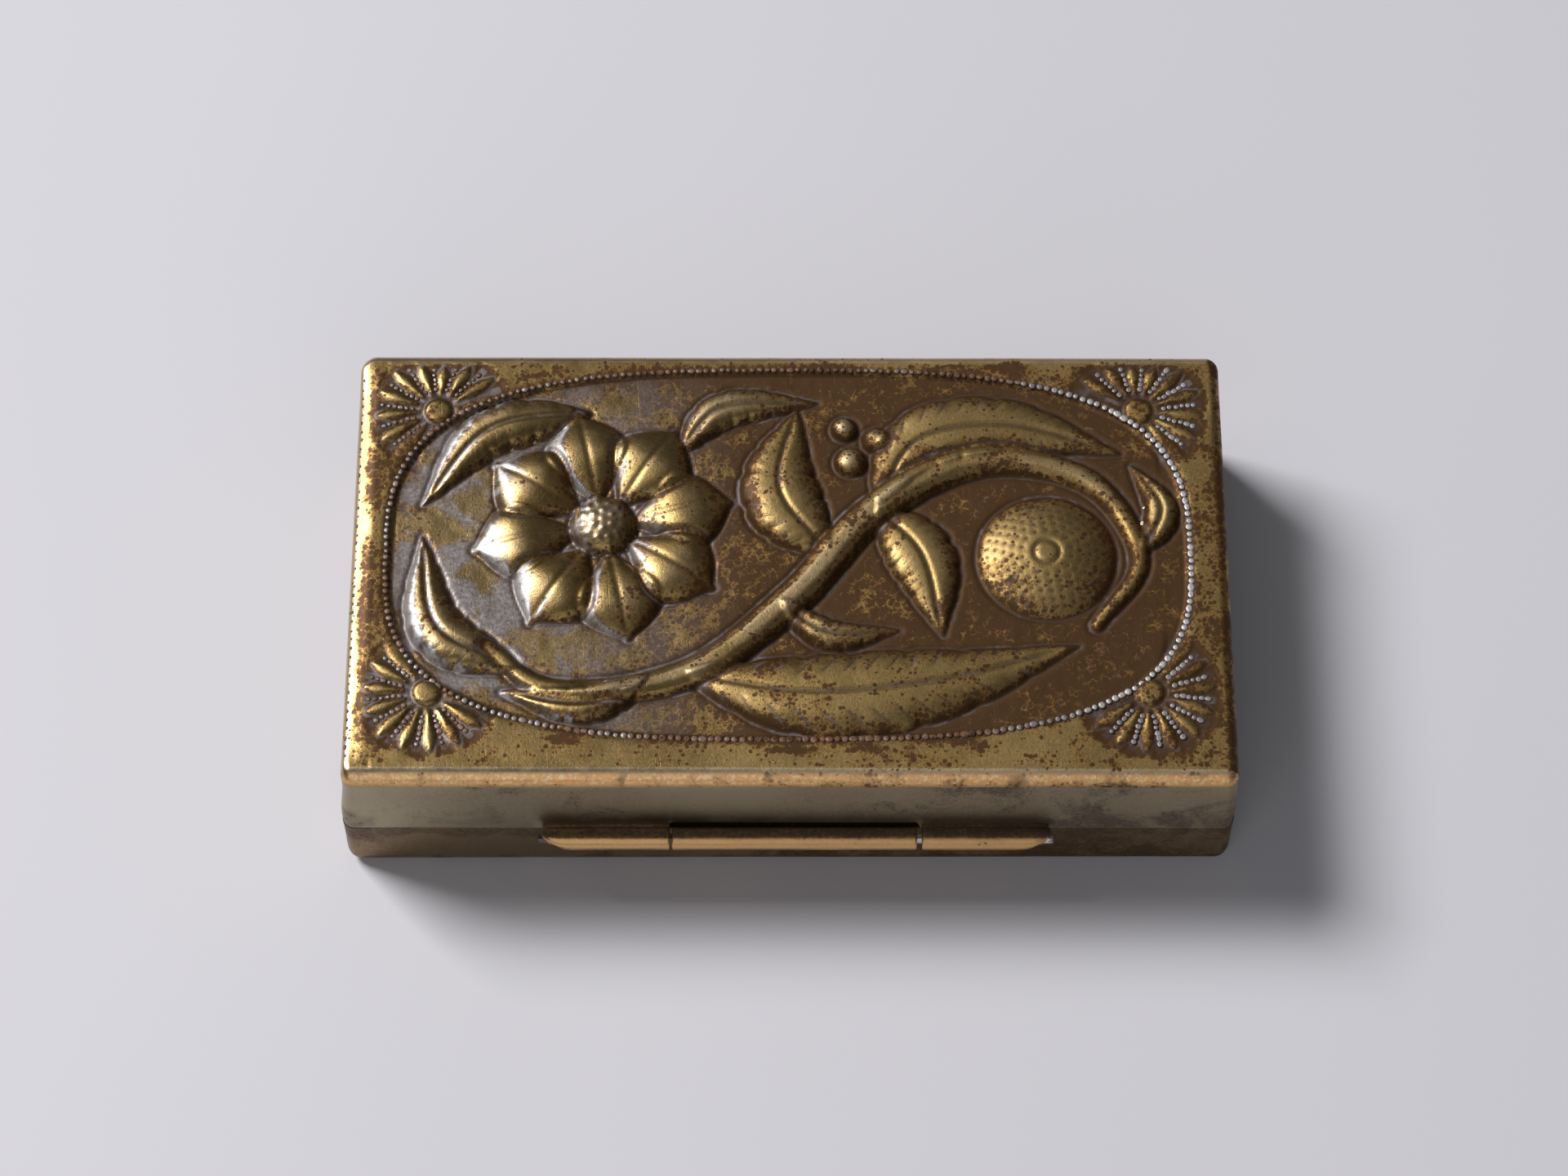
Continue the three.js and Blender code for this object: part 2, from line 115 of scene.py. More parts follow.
# the lid sits very slightly askew, and its walls roll in softly under the arris
def lidLean(x, y, z):
    up = smoothStep(9.0, 17.0, z)
    low = smoothStep(11.5, 8.0, z)
    rolled = np.clip((z - 16.9) / 1.4, 0, 1.5) ** 2
    hinge = (0.04 + 0.2 * rolled, 0.08 * rolled)
    return wallLean(x, y, 61, 0.06, 0.6 * up, 0.30 * up + 0.14 * low, hinge, (0.0, 0.2))


# the base draws in towards its rounded bottom
def baseLean(x, y, z):
    tuck = 0.4 * smoothStep(3.6, 0.0, z) ** 2
    return wallLean(x, y, 81, 0.05, 0.6 * tuck, tuck, (0.08, 0.26), (0.1, 0.1))


# Mesh building


def addObject(name, data):
    thing = bpy.data.objects.new(name, data)
    bpy.context.scene.collection.objects.link(thing)
    return thing


# made holds points in millimetres, faces, and a value for each point under every attribute's name
def makePiece(name, made, body, node, material, crisp=True):
    points, faces, attributes = made
    mesh = bpy.data.meshes.new(name)
    mesh.from_pydata([tuple(p) for p in np.asarray(points) * mm], [], faces)
    mesh.validate()
    mesh.update()
    mesh.polygons.foreach_set("use_smooth", [True] * len(mesh.polygons))
    if crisp:
        mesh.set_sharp_from_angle(angle=crispAngle)
    for key, values in attributes.items():
        layer = mesh.attributes.new(key, "FLOAT", "POINT")
        layer.data.foreach_set("value", np.asarray(values, dtype=np.float32).ravel())
    mesh.materials.append(material)
    piece = addObject(name, mesh)
    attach(piece, body)
    if node:
        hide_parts(node)


# faces between rows of points: rows x columns, each optionally closed on itself
def gridFaces(rows, columns, closeRows=False, closeColumns=False, flip=False):
    faces = []
    for r in range(rows if closeRows else rows - 1):
        low, high = r * columns, (r + 1) % rows * columns
        for c in range(columns if closeColumns else columns - 1):
            n = (c + 1) % columns
            quad = (low + c, low + n, high + n, high + c)
            faces.append(quad[::-1] if flip else quad)
    return faces


planGrid = {"step": 0.8, "onCorner": 8}


# the box's outline in plan, drawn in by inset, anticlockwise from the +X wall's far end;
# extraX adds points on the hinge wall
def planOutline(inset, extraX=()):
    radii = [max(r - inset, 0.15) for r in cornerRadii]
    signs = ((1, 1), (-1, 1), (-1, -1), (1, -1))
    middles = [(sx * (halfX - inset - r), sy * (halfY - inset - r)) for (sx, sy), r in zip(signs, radii)]

    def onArc(k, turn):
        return middles[k][0] + radii[k] * math.cos(turn), middles[k][1] + radii[k] * math.sin(turn)

    points = []
    for k in range(4):
        points += [onArc(k, (k + i / planGrid["onCorner"]) * math.pi / 2) for i in range(planGrid["onCorner"] + 1)]
        start, end = points[-1], onArc((k + 1) % 4, (k + 1) * math.pi / 2)
        count = round(2 * (halfY if k % 2 else halfX) / planGrid["step"])
        shares = list(np.arange(1, count) / count)
        if k == 2:
            shares = sorted(shares + [(x - start[0]) / (end[0] - start[0]) for x in extraX])
        points += [(start[0] + (end[0] - start[0]) * t, start[1] + (end[1] - start[1]) * t) for t in shares]
    return np.array(points)


# Metal finishes


class Nodes:
    # a short hand for building a material's nodes
    def __init__(self, name):
        self.material = bpy.data.materials.new(name)
        self.material.use_nodes = True
        self.tree = self.material.node_tree
        self.tree.nodes.clear()
        self.output = self.tree.nodes.new("ShaderNodeOutputMaterial")

    def add(self, kind, inputs=None, **settings):
        node = self.tree.nodes.new(kind)
        for key, value in settings.items():
            setattr(node, key, value)
        for key, value in (inputs or {}).items():
            if isinstance(value, bpy.types.NodeSocket):
                self.tree.links.new(value, node.inputs[key])
            else:
                node.inputs[key].default_value = value
        return node

    def maths(self, operation, a, b, clamp=False):
        return self.add("ShaderNodeMath", {0: a, 1: b}, operation=operation, use_clamp=clamp).outputs[0]

    def times(self, a, b):
        return self.maths("MULTIPLY", a, b)

    def minus(self, a, b):
        return self.maths("SUBTRACT", a, b)

    def most(self, a, b):
        return self.maths("MAXIMUM", a, b)

    def plus(self, first, *others):
        for value in others:
            first = self.maths("ADD", first, value)
        return first

    # a noise's swing to either side of its middle
    def swing(self, noise, amount):
        return self.times(self.minus(noise, 0.5), amount)

    def place(self):
        return self.add("ShaderNodeTexCoord").outputs["Object"]

    def noise(self, place, scale, detail, roughness, distortion=0.0):
        inputs = {"Vector": place, "Scale": scale, "Detail": detail, "Roughness": roughness, "Distortion": distortion}
        return self.add("ShaderNodeTexNoise", inputs).outputs["Fac"]

    def ramp(self, value, low, high, lowOut=0.0, highOut=1.0):
        inputs = {"Value": value, "From Min": low, "From Max": high, "To Min": lowOut, "To Max": highOut}
        return self.add("ShaderNodeMapRange", inputs, interpolation_type="SMOOTHSTEP").outputs["Result"]

    def mix(self, factor, *colours):
        a, b = [(*colour, 1.0) if isinstance(colour, tuple) else colour for colour in colours]
        return self.add("ShaderNodeMix", {0: factor, 6: a, 7: b}, data_type="RGBA").outputs[2]

    def attribute(self, name):
        return self.add("ShaderNodeAttribute", attribute_name=name, attribute_type="GEOMETRY").outputs["Fac"]

    def bump(self, height, strength, distance):
        inputs = {"Height": height, "Strength": strength, "Distance": distance}
        return self.add("ShaderNodeBump", inputs).outputs["Normal"]

    def finished(self, inputs):
        shader = self.add("ShaderNodeBsdfPrincipled", inputs)
        self.tree.links.new(shader.outputs[0], self.output.inputs["Surface"])
        return self.material


# the first two are the pale film and the silver-white painted as a sheen and a highlight on the left of the field;
# blush is the pinkish gold painted as a highlight along the front arris
shades = {
    "sheenFilm": ((0.185, 0.166, 0.162), (0.31, 0.29, 0.295)),
    "highlightSilver": (0.66, 0.64, 0.64),
    "grime": ((0.07, 0.043, 0.03), (0.19, 0.168, 0.172)),
    "scratch": (0.10, 0.065, 0.035),
    "blushHighlight": ((0.98, 0.72, 0.41), (0.88, 0.42, 0.16), (0.80, 0.50, 0.22)),
    "blushStain": (0.38, 0.24, 0.13),
}
# scales of the noises; the last two are shares of the look's own
grainScale = {"fine": 6000.0, "speck": 2600.0, "bend": 1500.0, "clouds": 0.3, "smallDots": 2.3}
dotBend = 0.00032  # in metres, how far the dots' outlines wander
# where the finish, the painted sheen and the painted highlight change over the box, in metres
zones = {"rustX": (-0.024, 0.014), "sheenFilmX": (-0.036, -0.002), "blushHighlightY": (-0.0238, -0.0245), "blushHighlightZ": (0.0171, 0.0185)}
scratches = {"turns": ((0.5, 1.0), (-0.9, 1.25), (1.5, 0.9)), "along": 190.0, "across": 5200.0}


# Brass that has been handled for a century. Five attributes steer it: groove (grime in chased lines), beside (how
# near an outline is, plus rust dots that paint shade on the sides turned from the lamp), ground (the sunk field, and
# above 1 the slopes facing the lamp, painted silver-white as a highlight), wearAndHighlight (rubbed edges, and painted
# highlights on the knuckles, the bead crowns at the right and the wall by the hinge) and stainAndShade (broad brown on
# the walls, and painted shade on the knuckle tops, under the lid's edge and, with tarnish, on the beads at the left).
def agedBrass(name, look):
    n = Nodes(name)
    place = n.place()
    split = n.add("ShaderNodeSeparateXYZ", {"Vector": place}).outputs
    blotch = n.noise(place, look["blotchScale"], 4.0, 0.6, 0.5)
    clouds = n.noise(place, look["blotchScale"] * grainScale["clouds"], 3.0, 0.5)
    fine = n.noise(place, grainScale["fine"], 3.0, 0.65)
    speck = n.noise(place, grainScale["speck"], 3.0, 0.6)
    groove, beside, ground, wearAndHighlight, stainAndShade = map(n.attribute, ("groove", "beside", "ground", "wearAndHighlight", "stainAndShade"))
    toRight = n.ramp(split["X"], *zones["rustX"])

    # rust-brown dots: sparse on the forms, run together beside the outlines and over the ground
    bend = n.add("ShaderNodeTexNoise", {"Vector": place, "Scale": grainScale["bend"], "Detail": 2.0}).outputs["Color"]
    bent = n.add("ShaderNodeVectorMath", {0: bend, 1: (dotBend,) * 3, 2: place}, operation="MULTIPLY_ADD")
    groundDots = n.plus(look["groundDots"], n.times(toRight, look["groundDotsRight"]))
    crowd = n.plus(
        n.swing(blotch, look["dotSpread"]),
        n.times(beside, look["besideDots"]),
        n.times(n.maths("MINIMUM", ground, 1.0), groundDots),
        n.times(stainAndShade, 0.45),
        n.times(toRight, 0.16),
        n.swing(clouds, 1.0),
    )
    crowd = n.minus(n.minus(crowd, n.times(wearAndHighlight, 0.2)), look["dotFloor"])
    dots = []
    for scale, share in ((look["dotScale"], 1.0), (look["dotScale"] * grainScale["smallDots"], 0.9)):
        cells = n.add("ShaderNodeTexVoronoi", {"Vector": bent.outputs["Vector"], "Scale": scale}).outputs
        reach = n.times(n.plus(crowd, n.swing(cells["Color"], 0.9)), share)
        dots.append(n.ramp(n.minus(reach, cells["Distance"]), -0.1, 0.16))
    spots = n.times(n.most(dots[0], n.times(dots[1], 0.75)), look["spots"])
    glaze = n.ramp(n.plus(crowd, n.times(stainAndShade, 0.5)), 0.05, 0.65, 0.0, look["glaze"])
    patina = n.most(spots, glaze)

    # the left of the field has a pale film in patches, coloured as a painted sheen of the lamp's reflection,
    # and the chased lines hold grime
    streak = n.ramp(n.plus(n.times(blotch, 0.5), n.times(clouds, 0.5)), 0.41, 0.55, 0.1, look["sheenFilm"])
    sheenFilm = n.times(n.ramp(split["X"], *zones["sheenFilmX"], 1.0, 0.0), ground)
    sheenFilm = n.times(n.maths("MULTIPLY", sheenFilm, streak, clamp=True), n.ramp(beside, 0.2, 1.0, 1.0, 0.35))
    grime = n.times(n.ramp(n.plus(groove, n.swing(fine, 0.5)), 0.35, 0.8), look["grime"])

    wearHighlightMix = n.times(n.ramp(n.plus(wearAndHighlight, n.swing(blotch, 0.5)), 0.3, 0.95), look["wearHighlightShare"])
    base = n.mix(n.ramp(clouds, 0.35, 0.65), look["metal"], look["metalOther"])
    base = n.mix(n.ramp(speck, 0.35, 0.7, 0.0, 0.6), base, look["metalFleck"])
    base = n.mix(wearHighlightMix, base, look["wearHighlightColour"])
    # the rolled edge over the hinge wall is rubbed clean and pinkish, and painted brighter still as a highlight band
    # that fades out down towards the wall
    arrisHighlight = n.times(n.ramp(split["Y"], *zones["blushHighlightY"]), n.ramp(split["Z"], *zones["blushHighlightZ"]))
    arrisHighlight = n.times(arrisHighlight, look["blushHighlight"])
    pinkHighlight = n.mix(n.ramp(speck, 0.32, 0.56), shades["blushHighlight"][0], n.mix(clouds, *shades["blushHighlight"][1:]))
    base = n.mix(arrisHighlight, base, n.mix(n.ramp(blotch, 0.5, 0.68, 0.0, 0.75), pinkHighlight, shades["blushStain"]))
    kept = n.minus(1.0, n.times(arrisHighlight, 0.75))
    glaze = n.times(glaze, n.times(kept, n.ramp(speck, 0.3, 0.6, 1.0, 0.7)))
    spots = n.times(spots, kept)
    coloured = n.mix(spots, n.mix(glaze, base, look["patinaColour"]), look["patinaDeep"])
    # above 1 the ground attribute turns the film to silver-white: the painted highlight on slopes facing the lamp
    paleSheen = n.mix(n.ramp(ground, 1.0, 1.7), n.mix(n.ramp(speck, 0.35, 0.65), *shades["sheenFilm"]), shades["highlightSilver"])
    coloured = n.mix(sheenFilm, coloured, paleSheen)
    pewter = n.ramp(n.plus(n.minus(blotch, 0.5), n.times(toRight, -0.12)), -0.12, 0.1)
    coloured = n.mix(grime, coloured, n.mix(pewter, *shades["grime"]))

    rough = n.plus(
        n.ramp(blotch, 0.3, 0.75, look["roughness"] - 0.03, look["roughness"] + 0.05),
        n.times(patina, 0.12),
        n.swing(fine, 0.16),
        n.times(grime, 0.04),
        n.times(toRight, 0.13),
    )

    # scratches: long thin marks in three directions, only here and there
    marks = 0.0
    for turn, stretch in scratches["turns"]:
        turned = n.add("ShaderNodeMapping", {"Vector": place, "Rotation": (0.0, 0.0, turn)}).outputs["Vector"]
        drawnOut = (scratches["along"] * stretch, scratches["across"] * stretch, scratches["along"])
        drawn = n.add("ShaderNodeMapping", {"Vector": turned, "Scale": drawnOut})
        marks = n.most(marks, n.ramp(n.noise(drawn.outputs["Vector"], 1.0, 1.0, 0.5), 0.70, 0.75))
    scratch = n.times(marks, n.ramp(clouds, 0.44, 0.58))
    coloured = n.mix(n.times(scratch, look["scratch"]), coloured, shades["scratch"])

    height = n.plus(n.times(blotch, 0.3), n.times(n.plus(fine, speck), look["grain"]))
    height = n.minus(n.minus(height, n.times(spots, 0.05)), n.times(scratch, 0.12))
    dull = n.plus(n.times(glaze, look["patinaDull"]), n.times(spots, 0.35))
    metallic = n.minus(1.0, n.most(dull, n.times(grime, 0.35)))
    normal = n.bump(height, look["bump"], 0.0002)
    return n.finished({"Base Color": coloured, "Roughness": rough, "Metallic": metallic, "Normal": normal})


lidBrassLook = {
    "metal": (0.35, 0.237, 0.092), "metalOther": (0.31, 0.205, 0.073), "metalFleck": (0.42, 0.30, 0.135),
    "wearHighlightColour": (0.82, 0.67, 0.48), "patinaColour": (0.19, 0.074, 0.008), "patinaDeep": (0.06, 0.023, 0.004),
    "wearHighlightShare": 0.5, "blushHighlight": 1.0, "roughness": 0.335, "blotchScale": 330.0, "dotScale": 2000.0, "dotSpread": 2.2,
    "dotFloor": -0.02, "besideDots": 0.75, "groundDots": 0.22, "groundDotsRight": 0.38, "spots": 0.92,
    "glaze": 0.68, "sheenFilm": 0.9, "grime": 0.78, "scratch": 0.3, "grain": 0.3, "bump": 0.24, "patinaDull": 0.2,
}
beadBrassLook = dict(
    lidBrassLook, metal=(0.25, 0.228, 0.232), metalOther=(0.2, 0.16, 0.14), metalFleck=(0.33, 0.305, 0.31),
    wearHighlightColour=(0.66, 0.63, 0.62), roughness=0.44, besideDots=0.0, dotFloor=0.45, grime=0.6, wearHighlightShare=0.8, bump=0.5,
    glaze=0.8,
)
wallBrassLook = dict(
    lidBrassLook, metal=(0.37, 0.315, 0.20), metalOther=(0.28, 0.22, 0.135), metalFleck=(0.35, 0.305, 0.215),
    patinaColour=(0.11, 0.076, 0.056), patinaDeep=(0.065, 0.042, 0.032), roughness=0.37, blotchScale=150.0,
    dotFloor=0.2, dotSpread=3.2, spots=0.5, glaze=0.75, sheenFilm=0.0, scratch=0.04, grain=0.1, blushHighlight=0.0,
)
baseBrassLook = dict(
    wallBrassLook, metal=(0.30, 0.205, 0.11), metalOther=(0.20, 0.125, 0.062), metalFleck=(0.32, 0.24, 0.15),
    patinaColour=(0.08, 0.042, 0.02), patinaDeep=(0.05, 0.026, 0.012),
)
# on the knuckles the wear colour shows mostly as their painted highlight, and the patina colours as the painted shade
# on their tops
hingeBrassLook = dict(
    lidBrassLook, metal=(0.46, 0.25, 0.085), metalOther=(0.34, 0.17, 0.05), metalFleck=(0.74, 0.47, 0.22),
    wearHighlightColour=(0.66, 0.40, 0.18), patinaColour=(0.14, 0.10, 0.08), patinaDeep=(0.10, 0.065, 0.05), patinaDull=0.6,
    wearHighlightShare=0.8, blushHighlight=0.0, roughness=0.28, dotFloor=0.2, dotSpread=2.0, spots=0.6, glaze=0.95, sheenFilm=0.0, scratch=0.1,
)
insideBrassLook = dict(
    wallBrassLook, metal=(0.62, 0.47, 0.24), metalOther=(0.54, 0.39, 0.18), metalFleck=(0.66, 0.52, 0.3),
    patinaColour=(0.28, 0.17, 0.09), patinaDeep=(0.2, 0.11, 0.05), roughness=0.34, glaze=0.5,
)
steelLook = {"clean": ((0.13, 0.115, 0.10), (0.60, 0.595, 0.58)), "dirt": (0.14, 0.11, 0.08), "roughness": (0.28, 0.42)}

lidBrass = agedBrass("lidBrass", lidBrassLook)
beadBrass = agedBrass("beadBrass", beadBrassLook)
wallBrass = agedBrass("wallBrass", wallBrassLook)
baseBrass = agedBrass("baseBrass", baseBrassLook)
hingeBrass = agedBrass("hingeBrass", hingeBrassLook)
insideBrass = agedBrass("insideBrass", insideBrassLook)


# steel with some dirt, brighter at the pin's right end
def wornSteel(name, look):
    n = Nodes(name)
    place = n.place()
    grain = n.noise(place, 1800.0, 4.0, 0.6)
    dirt = n.ramp(n.noise(place, 700.0, 3.0, 0.6), 0.52, 0.7)
    sideways = n.add("ShaderNodeSeparateXYZ", {"Vector": place}).outputs["X"]
    colour = n.mix(dirt, n.mix(n.ramp(sideways, 0.0, 0.012), *look["clean"]), look["dirt"])
    rough = n.ramp(grain, 0.3, 0.7, *look["roughness"])
    normal = n.bump(grain, 0.3, 0.00008)
    return n.finished({"Base Color": colour, "Metallic": 1.0, "Roughness": rough, "Normal": normal})


pinSteel = wornSteel("pinSteel", steelLook)
print("Finishes made")


# The embossed lid panel

field = {
    "halfX": 41.2, "halfY": 21.75, "centreY": 1.25, "power": 3.0, "sunk": 0.5, "highest": 1.42,
}

flower = {
    "u": -0.46, "v": 0.14, "petals": 8, "firstTurn": 12, "step": 45,
    "inner": 2.8, "outer": 13.2, "half": 4.5, "height": 1.45,
}
flowerEye = {"radius": 3.5, "height": 1.8}
mainStem = {
    "points": [(-0.74, -0.51), (-0.59, -0.72), (-0.25, -0.65), (0.02, -0.23), (0.22, 0.23), (0.49, 0.49),
               (0.76, 0.37), (0.87, -0.05), (0.76, -0.39)],
    "half": 2.1,
    "height": 1.3,
}
fruit = {"u": 0.64, "v": -0.03, "radius": 7.2, "height": 1.6}
leaves = [
    {"points": [(-0.25, -0.65), (0.05, -0.76), (0.39, -0.69), (0.71, -0.5)], "half": 5.0, "height": 1.3},
    {"points": [(0.1, 0.0), (-0.02, 0.32), (0.02, 0.78)], "half": 4.3, "height": 1.25},
    {"points": [(0.22, 0.23), (0.32, 0.58), (0.54, 0.68), (0.83, 0.54)], "half": 4.2, "height": 1.2},
    {"points": [(0.22, 0.23), (0.33, -0.02), (0.38, -0.44)], "half": 3.7, "height": 1.15},
    {"points": [(-0.66, -0.62), (-0.86, -0.42), (-0.91, 0.08)], "half": 3.0, "height": 1.25},
    {"points": [(-0.5, 0.76), (-0.75, 0.65), (-0.91, 0.26)], "half": 3.0, "height": 1.25},
    {"points": [(-0.27, 0.55), (-0.17, 0.77), (0.07, 0.82)], "half": 2.3, "height": 1.1},
    {"points": [(-0.34, -0.66), (-0.49, -0.81), (-0.7, -0.74)], "half": 2.2, "height": 1.05},
    {"points": [(0.88, 0.0), (0.93, 0.22), (0.86, 0.47)], "half": 1.9, "height": 1.0},
    {"points": [(-0.02, -0.28), (0.1, -0.44), (0.27, -0.42)], "half": 1.9, "height": 1.0},
]
berries = [
    {"u": 0.155, "v": 0.49, "radius": 1.8, "height": 1.1},
    {"u": 0.14, "v": 0.67, "radius": 1.5, "height": 1.0},
    {"u": 0.22, "v": 0.61, "radius": 1.6, "height": 1.0},
]
cornerFan = {
    "fromEnd": 9.0, "fromFront": 7.1, "fromHinge": 9.9, "boss": 1.5, "bossHeight": 0.22,
    "petals": 9, "step": 25, "inner": 1.9, "longest": 7.6, "half": 0.3, "widest": 0.95, "clear": 0.2, "depth": 0.11,
}


def inField(u, v):
    return (u * field["halfX"], field["centreY"] + v * field["halfY"])


# distance inside the oval, in millimetres; negative outside
def insideOval(x, y):
    p = field["power"]
    ax, ay = np.abs(x) / field["halfX"], np.abs(y - field["centreY"]) / field["halfY"]
    total = ax**p + ay**p + 1e-9
    steepness = np.hypot(ax ** (p - 1) / field["halfX"], ay ** (p - 1) / field["halfY"])
    return (1 - total ** (1 / p)) / (total ** (1 / p - 1) * steepness + 1e-6)


# a width or height along a form: its most at peak, its least at both ends
def swell(most, least, peak):
    bend = math.log(0.5) / math.log(peak)
    return lambda s: least + (most - least) * np.sin(math.pi * np.clip(s, 0, 1) ** bend)


# points at even steps on a straight line out from start
def ray(start, heading, nearest, farthest, count):
    return np.array(start) + np.outer(np.linspace(nearest, farthest, count), heading)


# a smooth curve through points in plan
def curveThrough(points, steps=14):
    p = [np.array(q, float) for q in points]
    p = [2 * p[0] - p[1], *p, 2 * p[-1] - p[-2]]
    out = []
    for i in range(1, len(p) - 2):
        a, b, c = [max(np.sum((p[i + k] - p[i + k - 1]) ** 2) ** 0.25, 1e-4) for k in (0, 1, 2)]
        leave = ((p[i] - p[i - 1]) / a - (p[i + 1] - p[i - 1]) / (a + b) + (p[i + 1] - p[i]) / b) * b
        reach = ((p[i + 1] - p[i]) / b - (p[i + 2] - p[i]) / (b + c) + (p[i + 2] - p[i + 1]) / c) * b
        square = -3 * p[i] + 3 * p[i + 1] - 2 * leave - reach
        cube = 2 * p[i] - 2 * p[i + 1] + leave + reach
        out += [p[i] + leave * t + square * t**2 + cube * t**3 for t in np.arange(steps) / steps]
    return np.array([*out, p[-2]])


# for each place: the share of the way along a line, and the signed distance from it
def alongLine(x, y, line):
    start, end = line[:-1], line[1:]
    run = end - start
    length = np.hypot(run[:, 0], run[:, 1])
    before = np.concatenate([[0], np.cumsum(length)])
    dx = x[:, None] - start[None, :, 0]
    dy = y[:, None] - start[None, :, 1]
    t = (dx * run[:, 0] + dy * run[:, 1]) / (length**2)
    held = np.clip(t, 0, 1)
    far = (dx - held * run[:, 0]) ** 2 + (dy - held * run[:, 1]) ** 2
    best = np.argmin(far, axis=1)
    rows = np.arange(len(x))
    side = np.sign(run[best, 0] * dy[rows, best] - run[best, 1] * dx[rows, best])
    distance = np.sqrt(far[rows, best])
    along = (before[best] + held[rows, best] * length[best]) / before[-1]
    return along, distance * np.where(side == 0, 1, side)


# how wide the chaser's lines are, in millimetres; lobes and veins in shares of their step, stem lines of the width
chased = {
    "outline": 0.2, "midrib": 0.26, "pip": 0.22, "dot": 0.34, "seed": 0.33, "lobe": 0.13, "vein": 0.15, "stem": 0.1,
}


